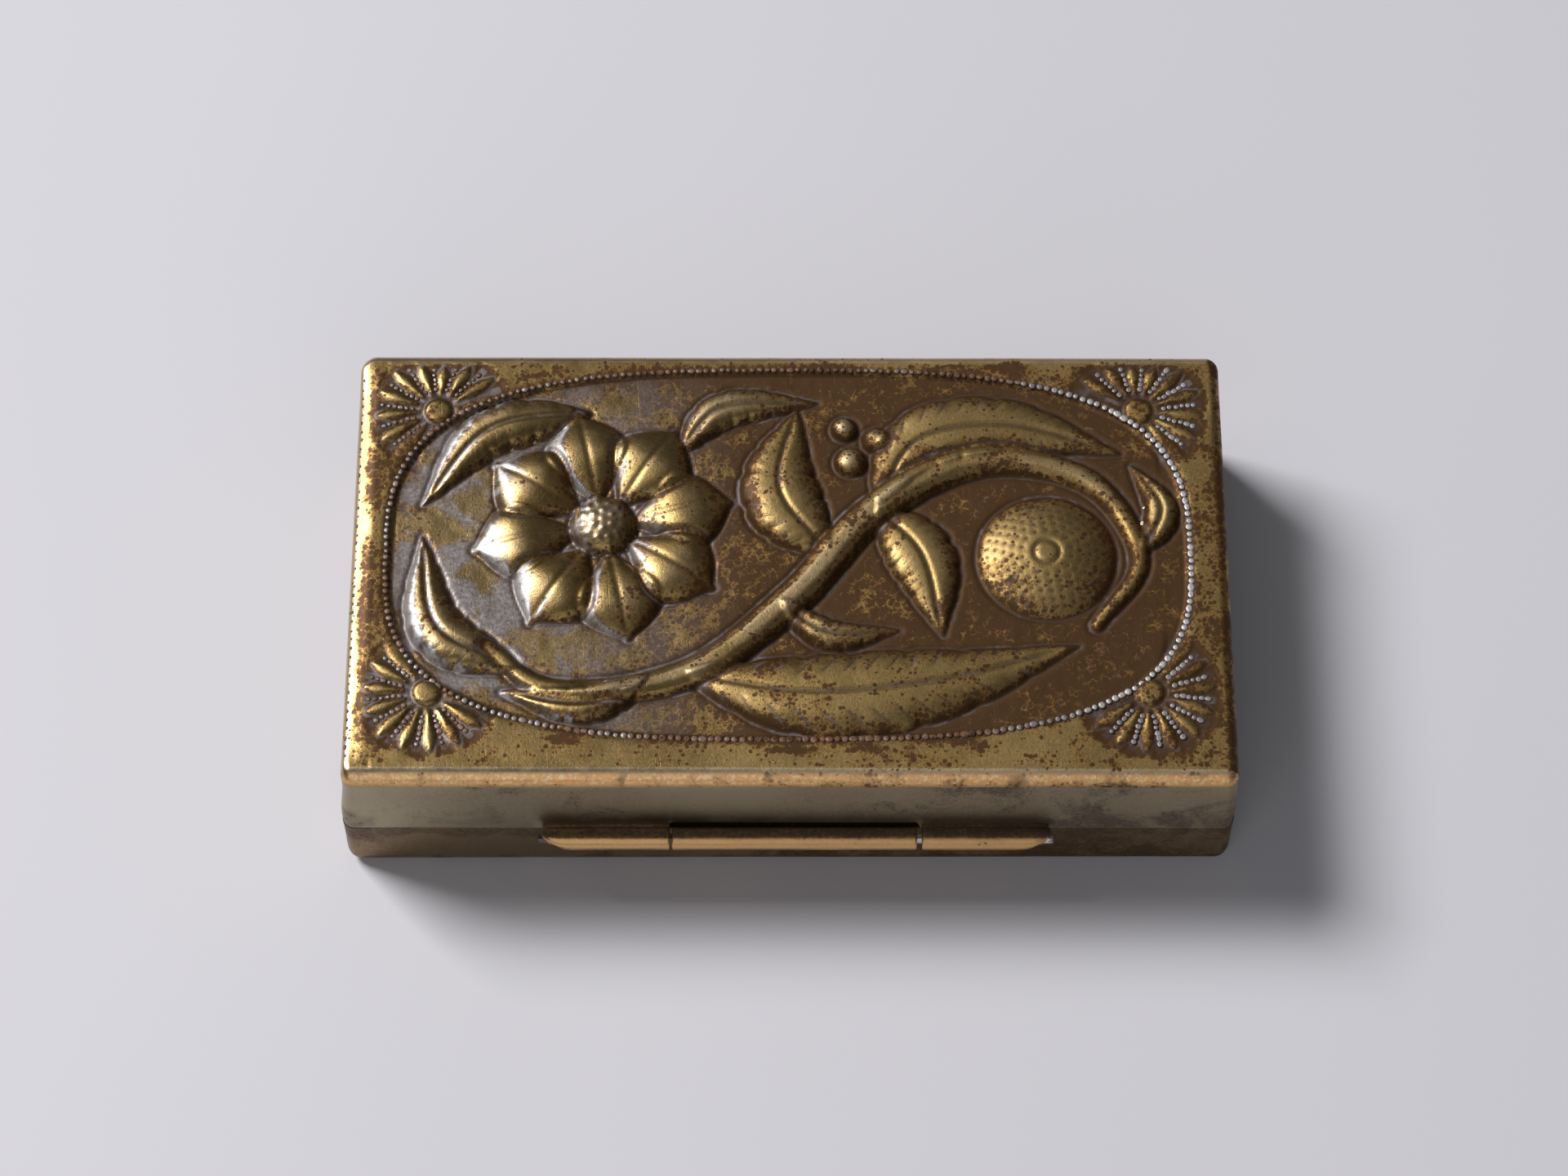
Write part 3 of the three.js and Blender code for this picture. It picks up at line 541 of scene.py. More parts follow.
# The relief is worked form by form, the back ones first. Every form lifts what is inside its outline
# and presses a chased groove into what lies round it.
class Relief:
    def __init__(self, x, y):
        self.x, self.y = x, y
        self.inside = insideOval(x, y)
        self.z = -field["sunk"] * smoothStep(0.1, 0.75, self.inside)
        self.ground = smoothStep(0.35, 0.9, self.inside)
        self.onForm, self.groove, self.beside = np.zeros((3, len(x)))

    def near(self, low, high, margin):
        return np.flatnonzero(
            (self.x > low[0] - margin) & (self.x < high[0] + margin)
            & (self.y > low[1] - margin) & (self.y < high[1] + margin)
        )

    def deepen(self, groove, beside, where=slice(None)):
        self.groove[where] = np.maximum(self.groove[where], groove)
        self.beside[where] = np.maximum(self.beside[where], beside)

    # edge is the distance outside the form's outline, negative inside;
    # inner holds lines worked into the form itself, each as its course, depth and grime
    def lay(self, where, edge, body, style, inner):
        lines = np.zeros_like(body)
        for course, depth, grime in inner:
            body = body - depth * course
            lines = np.maximum(lines, grime * course)
        z, ground = self.z[where], style["ground"]
        outline = ridge(edge - 0.12, chased["outline"]) * (edge > -0.25)
        lifted = ground + np.maximum(body, 0) + np.maximum(z - ground, 0) * style["over"]
        raised = z + (lifted - z) * smoothStep(0.03, -style["soft"], edge)
        self.z[where] = np.where(edge < 0, raised, z) - style["groove"] * outline
        covered = smoothStep(0.05, -0.2, edge)
        for layer in (self.groove, self.beside, self.ground):
            layer[where] *= 1 - covered
        self.deepen(np.maximum(outline, lines * covered), np.exp(-np.abs(edge) / style["halo"]), where)
        self.onForm[where] = np.maximum(self.onForm[where], covered)

    # a leaf, petal or stem along a line
    def strap(self, line, width, rise, style):
        where = self.near(line.min(0), line.max(0), style["reach"])
        s, d = alongLine(self.x[where], self.y[where], line)
        half = width(s)
        if "lobes" in style:
            half = half * (1 - style["cut"] * ridge(offBeat(s * style["lobes"]), chased["lobe"]))
        t = np.clip(np.abs(d) / np.maximum(half, 0.05), 0, 1)
        ends = smoothStep(0.02, 0.14, s) * smoothStep(1.0, 0.88, s)
        inner = []
        if "midrib" in style:
            inner.append((ridge(d, chased["midrib"]) * ends, style["midrib"], style["ribGrime"]))
        if "veins" in style:
            beat = offBeat(s * style["veins"] - np.abs(d) / style["reach"] * style["slant"])
            vein = ridge(beat, chased["vein"]) * smoothStep(0.35, 0.5, t) * smoothStep(0.96, 0.8, t)
            inner.append((vein * ends, style["veinDepth"], style["veinGrime"]))
        for offset in style.get("lines", ()):
            line = ridge(d / np.maximum(half, 0.3) - offset, chased["stem"]) * ends
            inner.append((line, style["lineDepth"], style["lineGrime"]))
        body = rise(s) * (1 - t ** style["round"]) ** style["fall"]
        self.lay(where, np.abs(d) - half, body, style, inner)

    # a wedge punched between two petals: grey along its middle, brown where it widens
    def wedge(self, start, heading, inner, outer):
        where = self.near(np.array(start) - outer, np.array(start) + outer, 1.0)
        dx, dy = self.x[where] - start[0], self.y[where] - start[1]
        along = dx * heading[0] + dy * heading[1]
        across = np.abs(dx * heading[1] - dy * heading[0])
        s = np.clip((along - inner) / (outer - inner), 0, 1)
        half = cornerFan["half"] + (cornerFan["widest"] - cornerFan["half"]) * smoothStep(0.5, 1.0, s) ** 1.5
        beyond = np.maximum(np.maximum(inner - along, along - outer), 0)
        within = np.minimum(half - across, 0.4) * (beyond <= 0) * (across < half)
        fray = 0.12 * patchNoise(self.x[where], self.y[where], 0.7, 46)
        edge = np.hypot(np.maximum(across - half, 0), beyond) - within + fray
        pressed = smoothStep(0.24, -0.26, edge)
        self.z[where] -= cornerFan["depth"] * pressed * (0.45 + 0.55 * smoothStep(1.0, 0.6, s))
        grey = pressed * smoothStep(0.55, 0.3, across) * smoothStep(0.98, 0.85, s)
        self.deepen(grey, np.exp(-np.maximum(edge, 0) / 0.4) * (0.7 + 0.6 * s), where)

    # a round form, with rings of punched dots or of seeds
    def boss(self, centre, radius, height, style):
        where = self.near(centre, centre, radius + 1.6)
        dx, dy = self.x[where] - centre[0], self.y[where] - centre[1]
        r, turns = np.hypot(dx, dy), np.arctan2(dy, dx) / (2 * math.pi)
        body = height * (1 - np.clip(r / radius, 0, 1) ** 2) ** style["fall"]
        inner = []
        if "pip" in style:
            inner.append((ridge(r - style["pip"], chased["pip"]), style["pipDepth"], style["pipGrime"]))
        for ring, count in style.get("stipple", ()):
            beat = np.abs((turns * count + 0.37 * ring) % 1.0 - 0.5) * 2 * math.pi * ring / count
            dots = ridge(beat, chased["dot"]) * ridge(r - ring, 0.3)
            inner.append((dots, style["dotDepth"], style["dotGrime"]))
        for ring, count in style.get("seeds", ()):
            for k in range(count):
                turn = (k + 0.5 * (ring > 1)) / count * 2 * math.pi
                gap = np.hypot(dx - ring * math.cos(turn), dy - ring * math.sin(turn))
                body += style["seedHeight"] * ridge(gap, chased["seed"])
                inner.append((ridge(gap - 0.5, 0.16), 0.0, style["seedGrime"]))
        self.lay(where, r - radius, body, style, inner)


formStyle = {"ground": -field["sunk"], "groove": 0.11, "soft": 0.5, "over": 0.35, "halo": 0.75}
stemStyle = dict(formStyle, reach=3.4, round=3.2, fall=1.0, lines=(-0.5, 0.5), lineDepth=0.07, lineGrime=0.45)
leafStyle = dict(
    formStyle, reach=6.4, round=3.6, fall=0.9, midrib=0.16, ribGrime=0.8, lobes=7, cut=0.07,
    veins=17, slant=2.4, veinDepth=0.03, veinGrime=0.8,
)
petalStyle = dict(formStyle, reach=5.6, round=3.4, fall=0.85, midrib=0.08, ribGrime=0.5)
berryStyle = dict(formStyle, fall=0.5)
# rings of dots and seeds: each ring's radius and how many it holds
fruitStyle = dict(
    formStyle, fall=0.75, pip=1.3, pipDepth=0.14, pipGrime=0.8,
    stipple=((2.6, 14), (3.5, 20), (4.4, 26), (5.3, 32), (6.1, 38)), dotDepth=0.05, dotGrime=0.95,
)
eyeStyle = dict(berryStyle, seeds=((0, 1), (1.1, 6), (2.15, 12)), seedHeight=0.16, seedGrime=0.75, groove=0.16)
fanPetalStyle = dict(formStyle, ground=0.0, groove=0.04, soft=0.3, over=0.0, halo=0.3, reach=1.6, round=2.4, fall=1.0)
cornerBossStyle = dict(fanPetalStyle, groove=0.16, halo=0.2, fall=0.25)


# the directions of a corner fan's lines: whole numbers are petals, halves are the gaps between them
def fanLine(sideX, sideY, k):
    cx = sideX * (halfX - cornerFan["fromEnd"])
    cy = sideY * (halfY - (cornerFan["fromFront"] if sideY > 0 else cornerFan["fromHinge"]))
    roomX, roomY = [
        half - box["panelArris"] - cornerFan["clear"] - abs(middle) for half, middle in ((halfX, cx), (halfY, cy))
    ]
    turn = math.radians((k - (cornerFan["petals"] - 1) / 2) * cornerFan["step"] + 45)
    c, s = math.cos(turn), math.sin(turn)
    reach = min(cornerFan["longest"], roomX / c if c > 0.05 else 99, roomY / s if s > 0.05 else 99)
    return (cx, cy), (sideX * c, sideY * s), reach


# the part of a line that stays clear of the oval
def clearOfOval(line, clear):
    return line[insideOval(line[:, 0], line[:, 1]) < -clear]


def layForms(relief):
    for leaf in leaves:
        line = curveThrough([inField(u, v) for u, v in leaf["points"]])
        relief.strap(line, swell(leaf["half"], 0.25, 0.42), swell(leaf["height"], 0.2, 0.4), leafStyle)
    line = curveThrough([inField(u, v) for u, v in mainStem["points"]])
    relief.strap(line, swell(mainStem["half"], 0.8, 0.45), swell(mainStem["height"], 0.4, 0.5), stemStyle)

    centre = inField(flower["u"], flower["v"])
    for k in [*range(0, flower["petals"], 2), *range(1, flower["petals"], 2)]:
        turn = math.radians(flower["firstTurn"] + k * flower["step"])
        line = ray(centre, (math.cos(turn), math.sin(turn)), flower["inner"], flower["outer"], 12)
        relief.strap(line, swell(flower["half"], 0.5, 0.6), swell(flower["height"], 0.25, 0.55), petalStyle)
    relief.boss(centre, flowerEye["radius"], flowerEye["height"], eyeStyle)
    for ball, style in [(fruit, fruitStyle), *((berry, berryStyle) for berry in berries)]:
        relief.boss(inField(ball["u"], ball["v"]), ball["radius"], ball["height"], style)

    for corner in corners:
        for k in range(cornerFan["petals"] + 1):
            centre, heading, reach = fanLine(*corner, k - 0.5)
            relief.wedge(centre, heading, cornerFan["inner"], reach - 0.2)
        for k in range(cornerFan["petals"]):
            centre, heading, reach = fanLine(*corner, k)
            line = clearOfOval(ray(centre, heading, cornerFan["inner"] + 0.5, min(reach, 7.2) - 0.6, 14), 1.0)
            if len(line) > 5:
                relief.strap(line, swell(0.72, 0.3, 0.62), swell(0.14, 0.08, 0.5), fanPetalStyle)
        relief.boss(centre, cornerFan["boss"], cornerFan["bossHeight"], cornerBossStyle)


# the whole relief over a grid of places, each of its layers in the grid's shape
def workRelief(gridX, gridY):
    x, y = gridX.ravel(), gridY.ravel()
    relief = Relief(x, y)
    layForms(relief)
    inside, clear = relief.inside, 1 - relief.onForm

    # the trench that the ring of beads lies in
    trench = ridge(inside - 0.1, 0.42)
    relief.z -= 0.1 * trench
    reach = 0.7 + 1.5 * (inside > 0) * smoothStep(6, -26, x - 0.6 * y)
    relief.deepen((0.5 + 0.3 * smoothStep(10, 40, x)) * trench, np.exp(-np.abs(inside) / reach) * (0.6 + 0.4 * clear))
    broken = smoothStep(-0.25, 0.5, patchNoise(x, y, 2.6, 47)) * smoothStep(34, 24, np.abs(x - 1))
    relief.deepen(0, 1.3 * broken * ridge(inside + 1.25, 0.45))
    # rust on the border: thickest at the left, thin along the hinge side, none on the outermost rim
    rusty = 0.2 + 0.6 * smoothStep(-24, -41, x) + 0.04 * smoothStep(20, 40, x) + 0.1 * smoothStep(14, 23, y)
    rusty += 0.3 * patchNoise(x, y, 3.4, 48) - 0.35 * smoothStep(-19.5, -22.5, y)
    relief.deepen(0, smoothStep(0.2, -0.4, inside) * np.clip(rusty, 0, 0.9) * (0.15 + 0.85 * clear))
    # the hand's unevenness everywhere, and nothing higher than the sheet was raised
    relief.z += 0.03 * patchNoise(x, y, 6.0, 41) + 0.012 * patchNoise(x, y, 1.9, 42)
    relief.z += clear * smoothStep(0.5, 1.5, inside) * (
        0.012 * patchNoise(x, y, 0.8, 43) + 0.02 * patchNoise(x, y, 3.0, 44)
    )
    highest = field["highest"]
    relief.z = np.minimum(relief.z, highest - 0.04 * np.exp(-np.abs(relief.z - highest) / 0.1))
    return [layer.reshape(gridX.shape) for layer in (relief.z, inside, relief.ground, relief.groove, relief.beside)]


panelGrid = {"step": 0.225, "underStep": 0.42}
arcLength = box["panelArris"] * math.pi / 2
turnStraight = box["panelTurnDown"] - box["panelArris"]


# along the sheet's surface from its lower edge: how far in from the wall, and how far below the top
def edgeProfile(s):
    arris = box["panelArris"]
    turn = np.clip((s - turnStraight) / arris, 0, math.pi / 2)
    inset = arris * (1 - np.cos(turn)) + np.maximum(s - turnStraight - arcLength, 0)
    drop = arris * (1 - np.sin(turn)) + np.maximum(turnStraight - s, 0)
    return inset, drop


# a grid over the whole sheet: its border rows follow the rounded arris and corners
def panelPlan(step):
    arris = box["panelArris"]
    width, depth = [2 * (turnStraight + arcLength + half - arris) for half in (halfX, halfY)]
    columns, rows = [int(round(size / step)) + 1 for size in (width, depth)]
    gridX, gridY = np.meshgrid(np.linspace(0, width, columns), np.linspace(0, depth, rows))
    signX, signY = np.where(gridX < width / 2, -1, 1), np.where(gridY < depth / 2, -1, 1)
    nearX, nearY = np.minimum(gridX, width - gridX), np.minimum(gridY, depth - gridY)
    low, high = np.minimum(nearX, nearY), np.maximum(nearX, nearY)
    inset, drop = edgeProfile(low)
    farRadius = np.where(signX < 0, box["farLeftRadius"], box["farRightRadius"])
    radius = np.where(signY < 0, box["cornerRadius"], farRadius)
    # along the sheet to where the corner's arc begins
    bent = np.arccos(np.clip(1 - radius / arris, -1, 1)) * arris
    far = turnStraight + np.where(radius < arris, bent, arcLength + radius - arris)
    swing = np.radians(45 * (1 - np.clip((high - low) / np.maximum(far - low, 1e-6), 0, 1)))
    angle = np.where(nearX <= nearY, swing, math.pi / 2 - swing)
    arc = np.maximum(radius - inset, 0)
    x = np.where(high < far, halfX - radius + arc * np.cos(angle), halfX - edgeProfile(nearX)[0])
    y = np.where(high < far, halfY - radius + arc * np.sin(angle), halfY - edgeProfile(nearY)[0])
    return signX * x, signY * y, inset, drop


# how far the sheet has dropped where it rolls over widely to its left edge, and how far that edge is squared out
def leftRoll(inset, y):
    front = smoothStep(-6, -20, y)
    roll = (np.clip(2.5 + 0.35 * front - np.maximum(inset, 0.9), 0, None) / 1.7) ** 2
    return (0.48 - 0.17 * front) * roll * smoothStep(25.0, 19.0, np.abs(y))


def leftSquare(inset):
    return 0.3 * np.sin(math.pi * np.clip(inset / 1.5, 0, 1))


def gridPoints(x, y, z):
    return np.stack([x, y, z], -1).reshape(-1, 3)


def makeLidPanel():
    x, y, inset, drop = panelPlan(panelGrid["step"])
    worked, inside, ground, groove, beside = workRelief(x, y)
    onTop = smoothStep(0.9, 1.5, inset)
    lift = worked * onTop
    z = box["top"] - drop + lift
    wearAndHighlight = 0.7 * np.clip((lift - blurred(lift, 12)) / 0.7, 0, 1)
    # slopes turned towards the left end, facing the lamp, are rubbed silvery and painted silver-white as a highlight;
    # the ones turned away hold more rust dots, which also paint shade on them
    rise = np.gradient(lift, axis=1) / panelGrid["step"]
    onField = smoothStep(0.3, 0.8, inside)
    paintedSilverHighlight = smoothStep(0.12, 0.42, rise) * smoothStep(12, -14, x) * onField
    paintedShadeSlopes = 0.75 * smoothStep(-0.1, -0.5, rise) * onField
    arris = smoothStep(1.45, 0.9, inset) * smoothStep(-0.1, 0.3, inset)
    # the right edge, turned from the lamp, keeps more rust and no rubbed gold: painted shade on that arris
    paintedShadeRightEdge = smoothStep(halfX - 1.6, halfX - 0.9, x) * (y > -24)
    attributes = {
        "groove": groove * onTop,
        "beside": np.maximum(beside * smoothStep(1.2, 1.6, inset), np.maximum(paintedShadeSlopes, 0.6 * paintedShadeRightEdge)),
        "stainAndShade": 0.6 * ridge(x + 4, 9) * ridge(y - 22.8, 1.8),
        "ground": (np.maximum(ground, paintedSilverHighlight) + 0.9 * paintedSilverHighlight) * onTop,
        "wearAndHighlight": np.maximum(wearAndHighlight, arris * (1 - paintedShadeRightEdge)),
    }
    # the sheet rolls over widely towards its left edge
    z -= leftRoll(inset, y) * (x < -halfX + 3.5) * np.clip((box["panelTurnDown"] - drop) / 0.9, 0, 1)
    x = x - leftSquare(inset) * (x < -halfX + 3) * smoothStep(24.6, 23.0, np.abs(y))
    x, y = leanIn(x, y, *lidLean(x, y, box["top"] - drop))
    # the panel sags a little towards its right front corner
    z -= 0.16 * smoothStep(-12, 44, x) * smoothStep(-14, -24.5, y)
    return gridPoints(x, y, z), gridFaces(*x.shape), attributes


# the panel's hollow side, on a coarser grid: the same relief, seen from behind
def makeLidUnderside():
    x, y, inset, drop = panelPlan(panelGrid["underStep"])
    sheet = box["panelSheet"]
    lift = np.minimum(blurred(workRelief(x, y)[0], 1), 1.2) * smoothStep(1.6, 2.4, inset)
    turned = (box["panelTurnDown"] - sheet) / box["panelTurnDown"]
    z = box["top"] - sheet - drop * turned + lift
    x, y = leanIn(x, y, *lidLean(x, y, box["top"] - drop))
    points = gridPoints(x * (halfX - sheet) / halfX, y * (halfY - sheet) / halfY, z)
    return points, gridFaces(*x.shape, flip=True), {"stainAndShade": np.full(len(points), 0.3)}


makePiece("lidPanel", makeLidPanel(), "lid", "lid_panel", lidBrass, crisp=False)
makePiece("lidUnderside", makeLidUnderside(), "lid", "lid_panel", insideBrass, crisp=False)
print("Lid panel made")


# The ring of beads and the rows of punched dots

beadRing = {
    "step": 0.79, "radius": 0.375, "height": 0.16, "base": -0.12, "unevenness": 0.14, "wander": 0.05, "longShare": 0.2,
}
fanBeads = {
    "step": 0.55, "radius": 0.31, "height": 0.1, "base": -0.1, "unevenness": 0.2, "wander": 0.06, "longShare": 0.2,
    "from": 2.4, "to": 6.2,
}


beadRings = ((1.0, -0.35), (0.97, 0.5), (0.78, 0.9), (0.4, 0.99))  # from the rim up: share of the radius, of the height
beadAround = 8


# a low dome stretched along its heading
def beadDome(x, y, z, halfLong, halfWide, height, heading):
    c, s = math.cos(heading), math.sin(heading)
    points = []
    for share, rise in beadRings:
        for k in range(beadAround):
            turn = k / beadAround * 2 * math.pi
            along, across = share * halfLong * math.cos(turn), share * halfWide * math.sin(turn)
            points.append((x + along * c - across * s, y + along * s + across * c, z + rise * height))
    faces = gridFaces(len(beadRings), beadAround, closeColumns=True)
    last = len(points)
    faces += [(last - beadAround + k, last - beadAround + (k + 1) % beadAround, last) for k in range(beadAround)]
    return [*points, (x, y, z + height)], faces


def ovalLine(inset, count=2400):
    turn = np.linspace(0, 2 * math.pi, count, endpoint=False)
    c, s = np.cos(turn), np.sin(turn)
    power = 2 / field["power"]
    x = (field["halfX"] - inset) * np.sign(c) * np.abs(c) ** power
    y = field["centreY"] + (field["halfY"] - inset) * np.sign(s) * np.abs(s) ** power
    return np.stack([x, y], 1)


rng = np.random.default_rng(7)


def beadsAlong(line, look):
    depth = line[:, 2] if line.shape[1] > 2 else np.zeros(len(line))
    along = np.concatenate([[0], np.cumsum(np.hypot(*np.diff(line[:, :2], axis=0).T))])
    count = int(along[-1] / look["step"])
    beads = []
    for k in range(count):
        at = (k + 0.5 + rng.uniform(-0.1, 0.1)) * along[-1] / count
        px, py = [np.interp(at, along, line[:, axis]) for axis in (0, 1)]
        nextX, nextY = [np.interp(at + 0.2, along, line[:, axis]) for axis in (0, 1)]
        radius = look["radius"] * (1 + look["unevenness"] * rng.uniform(-1, 1))
        radius *= 0.84 + 0.2 * smoothStep(-30, 8, px - 1.5 * py)
        stretch = 1.35 if rng.uniform() < look["longShare"] else 1.0
        side = look["wander"] * rng.uniform(-1, 1)
        heading = math.atan2(nextY - py, nextX - px)
        px, py = px - math.sin(heading) * side, py + math.cos(heading) * side
        height = look["height"] * (1 + 0.2 * rng.uniform(-1, 1))
        pz = box["top"] + look["base"] + np.interp(at, along, depth)
        beads.append(beadDome(px, py, pz, radius * stretch, radius, height, heading))
    return beads


# beads are pewter grey round their feet; at the left they are darker all over, tarnish together with painted shade,
# and at the right their crowns are lighter, rubbed wear together with a painted highlight
def beadPiece(name, beads, crown=0.0, bright=1.0):
    points, faces = [], []
    for beadPoints, beadFaces in beads:
        faces += [tuple(i + len(points) for i in face) for face in beadFaces]
        points += beadPoints
    atRight = smoothStep(16, 40, np.array(points)[:, 0])
    upper = len(points) // len(beads) - 2 * beadAround
    grime = np.repeat([1.0, 0.7, crown], [beadAround, beadAround, upper])
    wearAndHighlight = np.repeat([0.0, bright], [2 * beadAround, upper])
    attributes = {
        "groove": np.tile(grime, len(beads)),
        "wearAndHighlight": np.tile(wearAndHighlight, len(beads)) * atRight,
        "stainAndShade": 1.0 - atRight,
    }
    makePiece(name, (points, faces, attributes), "lid", None, beadBrass, crisp=False)
    print(name, len(beads))


oval = ovalLine(0.1)
beadPiece("beadedRing", beadsAlong(np.vstack([oval, oval[:1]]), beadRing))
beads = []
for corner in corners:
    for k in range(-1, cornerFan["petals"]):
        centre, heading, reach = fanLine(*corner, k + 0.5)
        line = clearOfOval(ray(centre, heading, fanBeads["from"], min(fanBeads["to"], reach - 0.4), 12), 0.9)
        if len(line) > 2:
            beads += beadsAlong(line, fanBeads)
beadPiece("cornerBeads", beads, 0.2, 0.55)

# a row of punched dots along the rolled left edge
edgeDots = {
    "step": 1.0, "radius": 0.17, "height": 0.06, "base": 0.0, "unevenness": 0.3, "wander": 0.08, "longShare": 0.5,
    "inset": 0.85, "far": 22.2, "near": -22.6, "stations": 90,
}
turn = math.acos(1 - edgeDots["inset"] / box["panelArris"])
dotY = np.linspace(edgeDots["far"], edgeDots["near"], edgeDots["stations"])
dotX = np.full(len(dotY), -halfX + edgeDots["inset"])
dotZ = -box["panelArris"] * (1 - math.sin(turn)) - leftRoll(edgeDots["inset"], dotY)
dotX += lidLean(dotX, dotY, np.full(len(dotY), box["top"]))[0] * 0.85 - leftSquare(edgeDots["inset"])
beadPiece("edgeDots", beadsAlong(np.column_stack([dotX, dotY, dotZ]), edgeDots), 1.0)


# Bent strips

# a closed section of (inset, z, share of the lean) points swept round the outline;
# a slit strip has two ends, a hair apart, on the +X wall beside the hinge corner
def sweptStrip(section, lean, slit=True, extraX=()):
    rows = []
    onWall = round(2 * halfY / planGrid["step"]) - 1
    slitY = -halfY + box["cornerRadius"] + box["seamFromCorner"]
    for inset, z, moves in section:
        ring = planOutline(inset, extraX)
        if slit:
            x = halfX - inset
            ring = np.vstack([[(x, slitY + box["stripSeam"])], ring[-onWall:], ring[:-onWall], [(x, slitY)]])
        leanX, leanY = lean(*ring.T, z)
        x, y = leanIn(*ring.T, leanX * moves, leanY * moves)
        rows.append(np.column_stack([x, y, np.full(len(ring), z)]))
    return rows


# rows joined to a strip with two flat ends
def stripMesh(rows):
    columns = len(rows[0])
    faces = gridFaces(len(rows), columns, closeRows=True, flip=True)
    faces.append(tuple(r * columns for r in range(len(rows)))[::-1])
    faces.append(tuple(r * columns + columns - 1 for r in range(len(rows))))
    return np.vstack(rows), faces


lidWallLow = box["seam"]
lidWallHigh = box["top"] - box["panelTurnDown"]
knuckle = {
    "radius": 1.18, "bore": 0.58, "pinRadius": 0.5, "standOff": 0.1, "rise": 0.4, "centre": 24.8, "outer": 13.0,
    "leftGap": 0.2, "rightGap": 0.5, "shift": 0.6, "foot": 0.4, "mitre": 1.8, "pinProud": 0.4, "notch": 1.25,
    "around": 44, "station": 0.6, "endRound": 0.14, "dent": 0.035, "tipTaper": 0.3,
}
hingeY = -halfY - knuckle["radius"] - knuckle["standOff"]
hingeZ = box["seam"] + knuckle["rise"]


# heights down a wall's outer face, closer together at its edges
def wallHeights(low, high, count=9):
    return low + (high - low) * smoothStep(0, 1, np.linspace(0, 1, count))


# the ends of the centre knuckle, and of the notch over it
centreLow, centreHigh = [knuckle["shift"] + side * knuckle["centre"] / 2 for side in (-1, 1)]
notchLow = centreLow - knuckle["leftGap"]
notchHigh = centreHigh + knuckle["rightGap"]


def makeLidBand():
    thick = box["lidWall"]
    ease, middle = 0.1, 13.0
    section = [(thick, lidWallHigh, 1), (thick, middle, 0.6), (thick, lidWallLow + ease, 0.1)]
    section += [(thick - ease * 0.6, lidWallLow, 0.2), (ease * 0.7, lidWallLow, 0.9)]
    section += [(0.0, z, 1) for z in wallHeights(lidWallLow + ease, lidWallHigh, 13)]

    def lean(x, y, z):
        leanX, leanY = lidLean(x, y, z)
        # the wall is a little hollow between its edges, and its lower edge is not quite straight
        hollow = 0.03 * math.sin(math.pi * (z - lidWallLow) / (lidWallHigh - lidWallLow))
        low = 0.02 * (1 + patchNoise(x, y, 7.0, 71)) * smoothStep(lidWallLow + 2.5, lidWallLow, z)
        return leanX + hollow + low, leanY + hollow + low

    marks = [notchLow - 0.1, notchLow, notchLow + 0.1, notchHigh - 0.45, notchHigh - 0.2, notchHigh - 0.05, notchHigh]
    rows = sweptStrip(section, lean, extraX=marks)
    for row in rows:
        x, y, z = row.T
        rise = smoothStep(notchLow - 0.12, notchLow + 0.05, x) * smoothStep(notchHigh, notchHigh - 0.5, x)
        low = smoothStep(lidWallLow + 3.4, lidWallLow, z)
        uneven = 0.04 * (1 + patchNoise(x, y, 6.0, 72))
        row[:, 2] += (rise * (y < -halfY + 1.6) * knuckle["notch"] + uneven) * low
    points, faces = stripMesh(rows)
    x, y, z = points.T
    edge = smoothStep(lidWallLow + 0.6, lidWallLow, z)
    # the strip beside the hinge is painted with the lighter rubbed colour: painted light over the shade and dark
    # reflection next to the knuckles
    beside = smoothStep(2.1, 1.3, np.abs(z - hingeZ)) * (y < -halfY + 1.0) * smoothStep(28, 24, np.abs(x))
    fromSeam = np.abs(y + halfY - box["cornerRadius"] - box["seamFromCorner"] - box["stripSeam"] / 2)
    attributes = {
        "groove": (x > halfX - 1.5) * smoothStep(0.3, 0.05, fromSeam),
        "stainAndShade": 0.5 * smoothStep(14.5, 9.5, z) * (1 - beside),
        "wearAndHighlight": np.maximum(0.8 * edge * (1 - beside), 0.9 * beside),
    }
    return points, faces, attributes


def makeBaseBand():
    thick = box["baseWall"]
    low, high = box["floorTurnUp"], box["seam"]
    ease = 0.1
    section = [(thick, high - ease, 0), (thick, low, 0)]
    section += [(0.0, z, 1) for z in wallHeights(low, high - ease)]
    section += [(ease, high, 1), (thick - ease, high, 0)]

    def lean(x, y, z):
        leanX, leanY = baseLean(x, y, z)
        hollow = 0.05 * math.sin(math.pi * (z - low) / (high - low))
        return leanX + hollow, leanY + hollow

    points, faces = stripMesh(sweptStrip(section, lean))
    x, y, z = points.T
    # darker near its top, most at the left and on the hinge side: painted shade under the lid's edge, over an even
    # brown stain
    shadeUnderLid = (0.4 + 0.7 * smoothStep(10, -30, x)) * smoothStep(3.5, 0.0, high - z) * smoothStep(8, -12, y)
    return points, faces, {"stainAndShade": shadeUnderLid + 0.3, "wearAndHighlight": 0.25 * smoothStep(0.5, 0.0, high - z)}


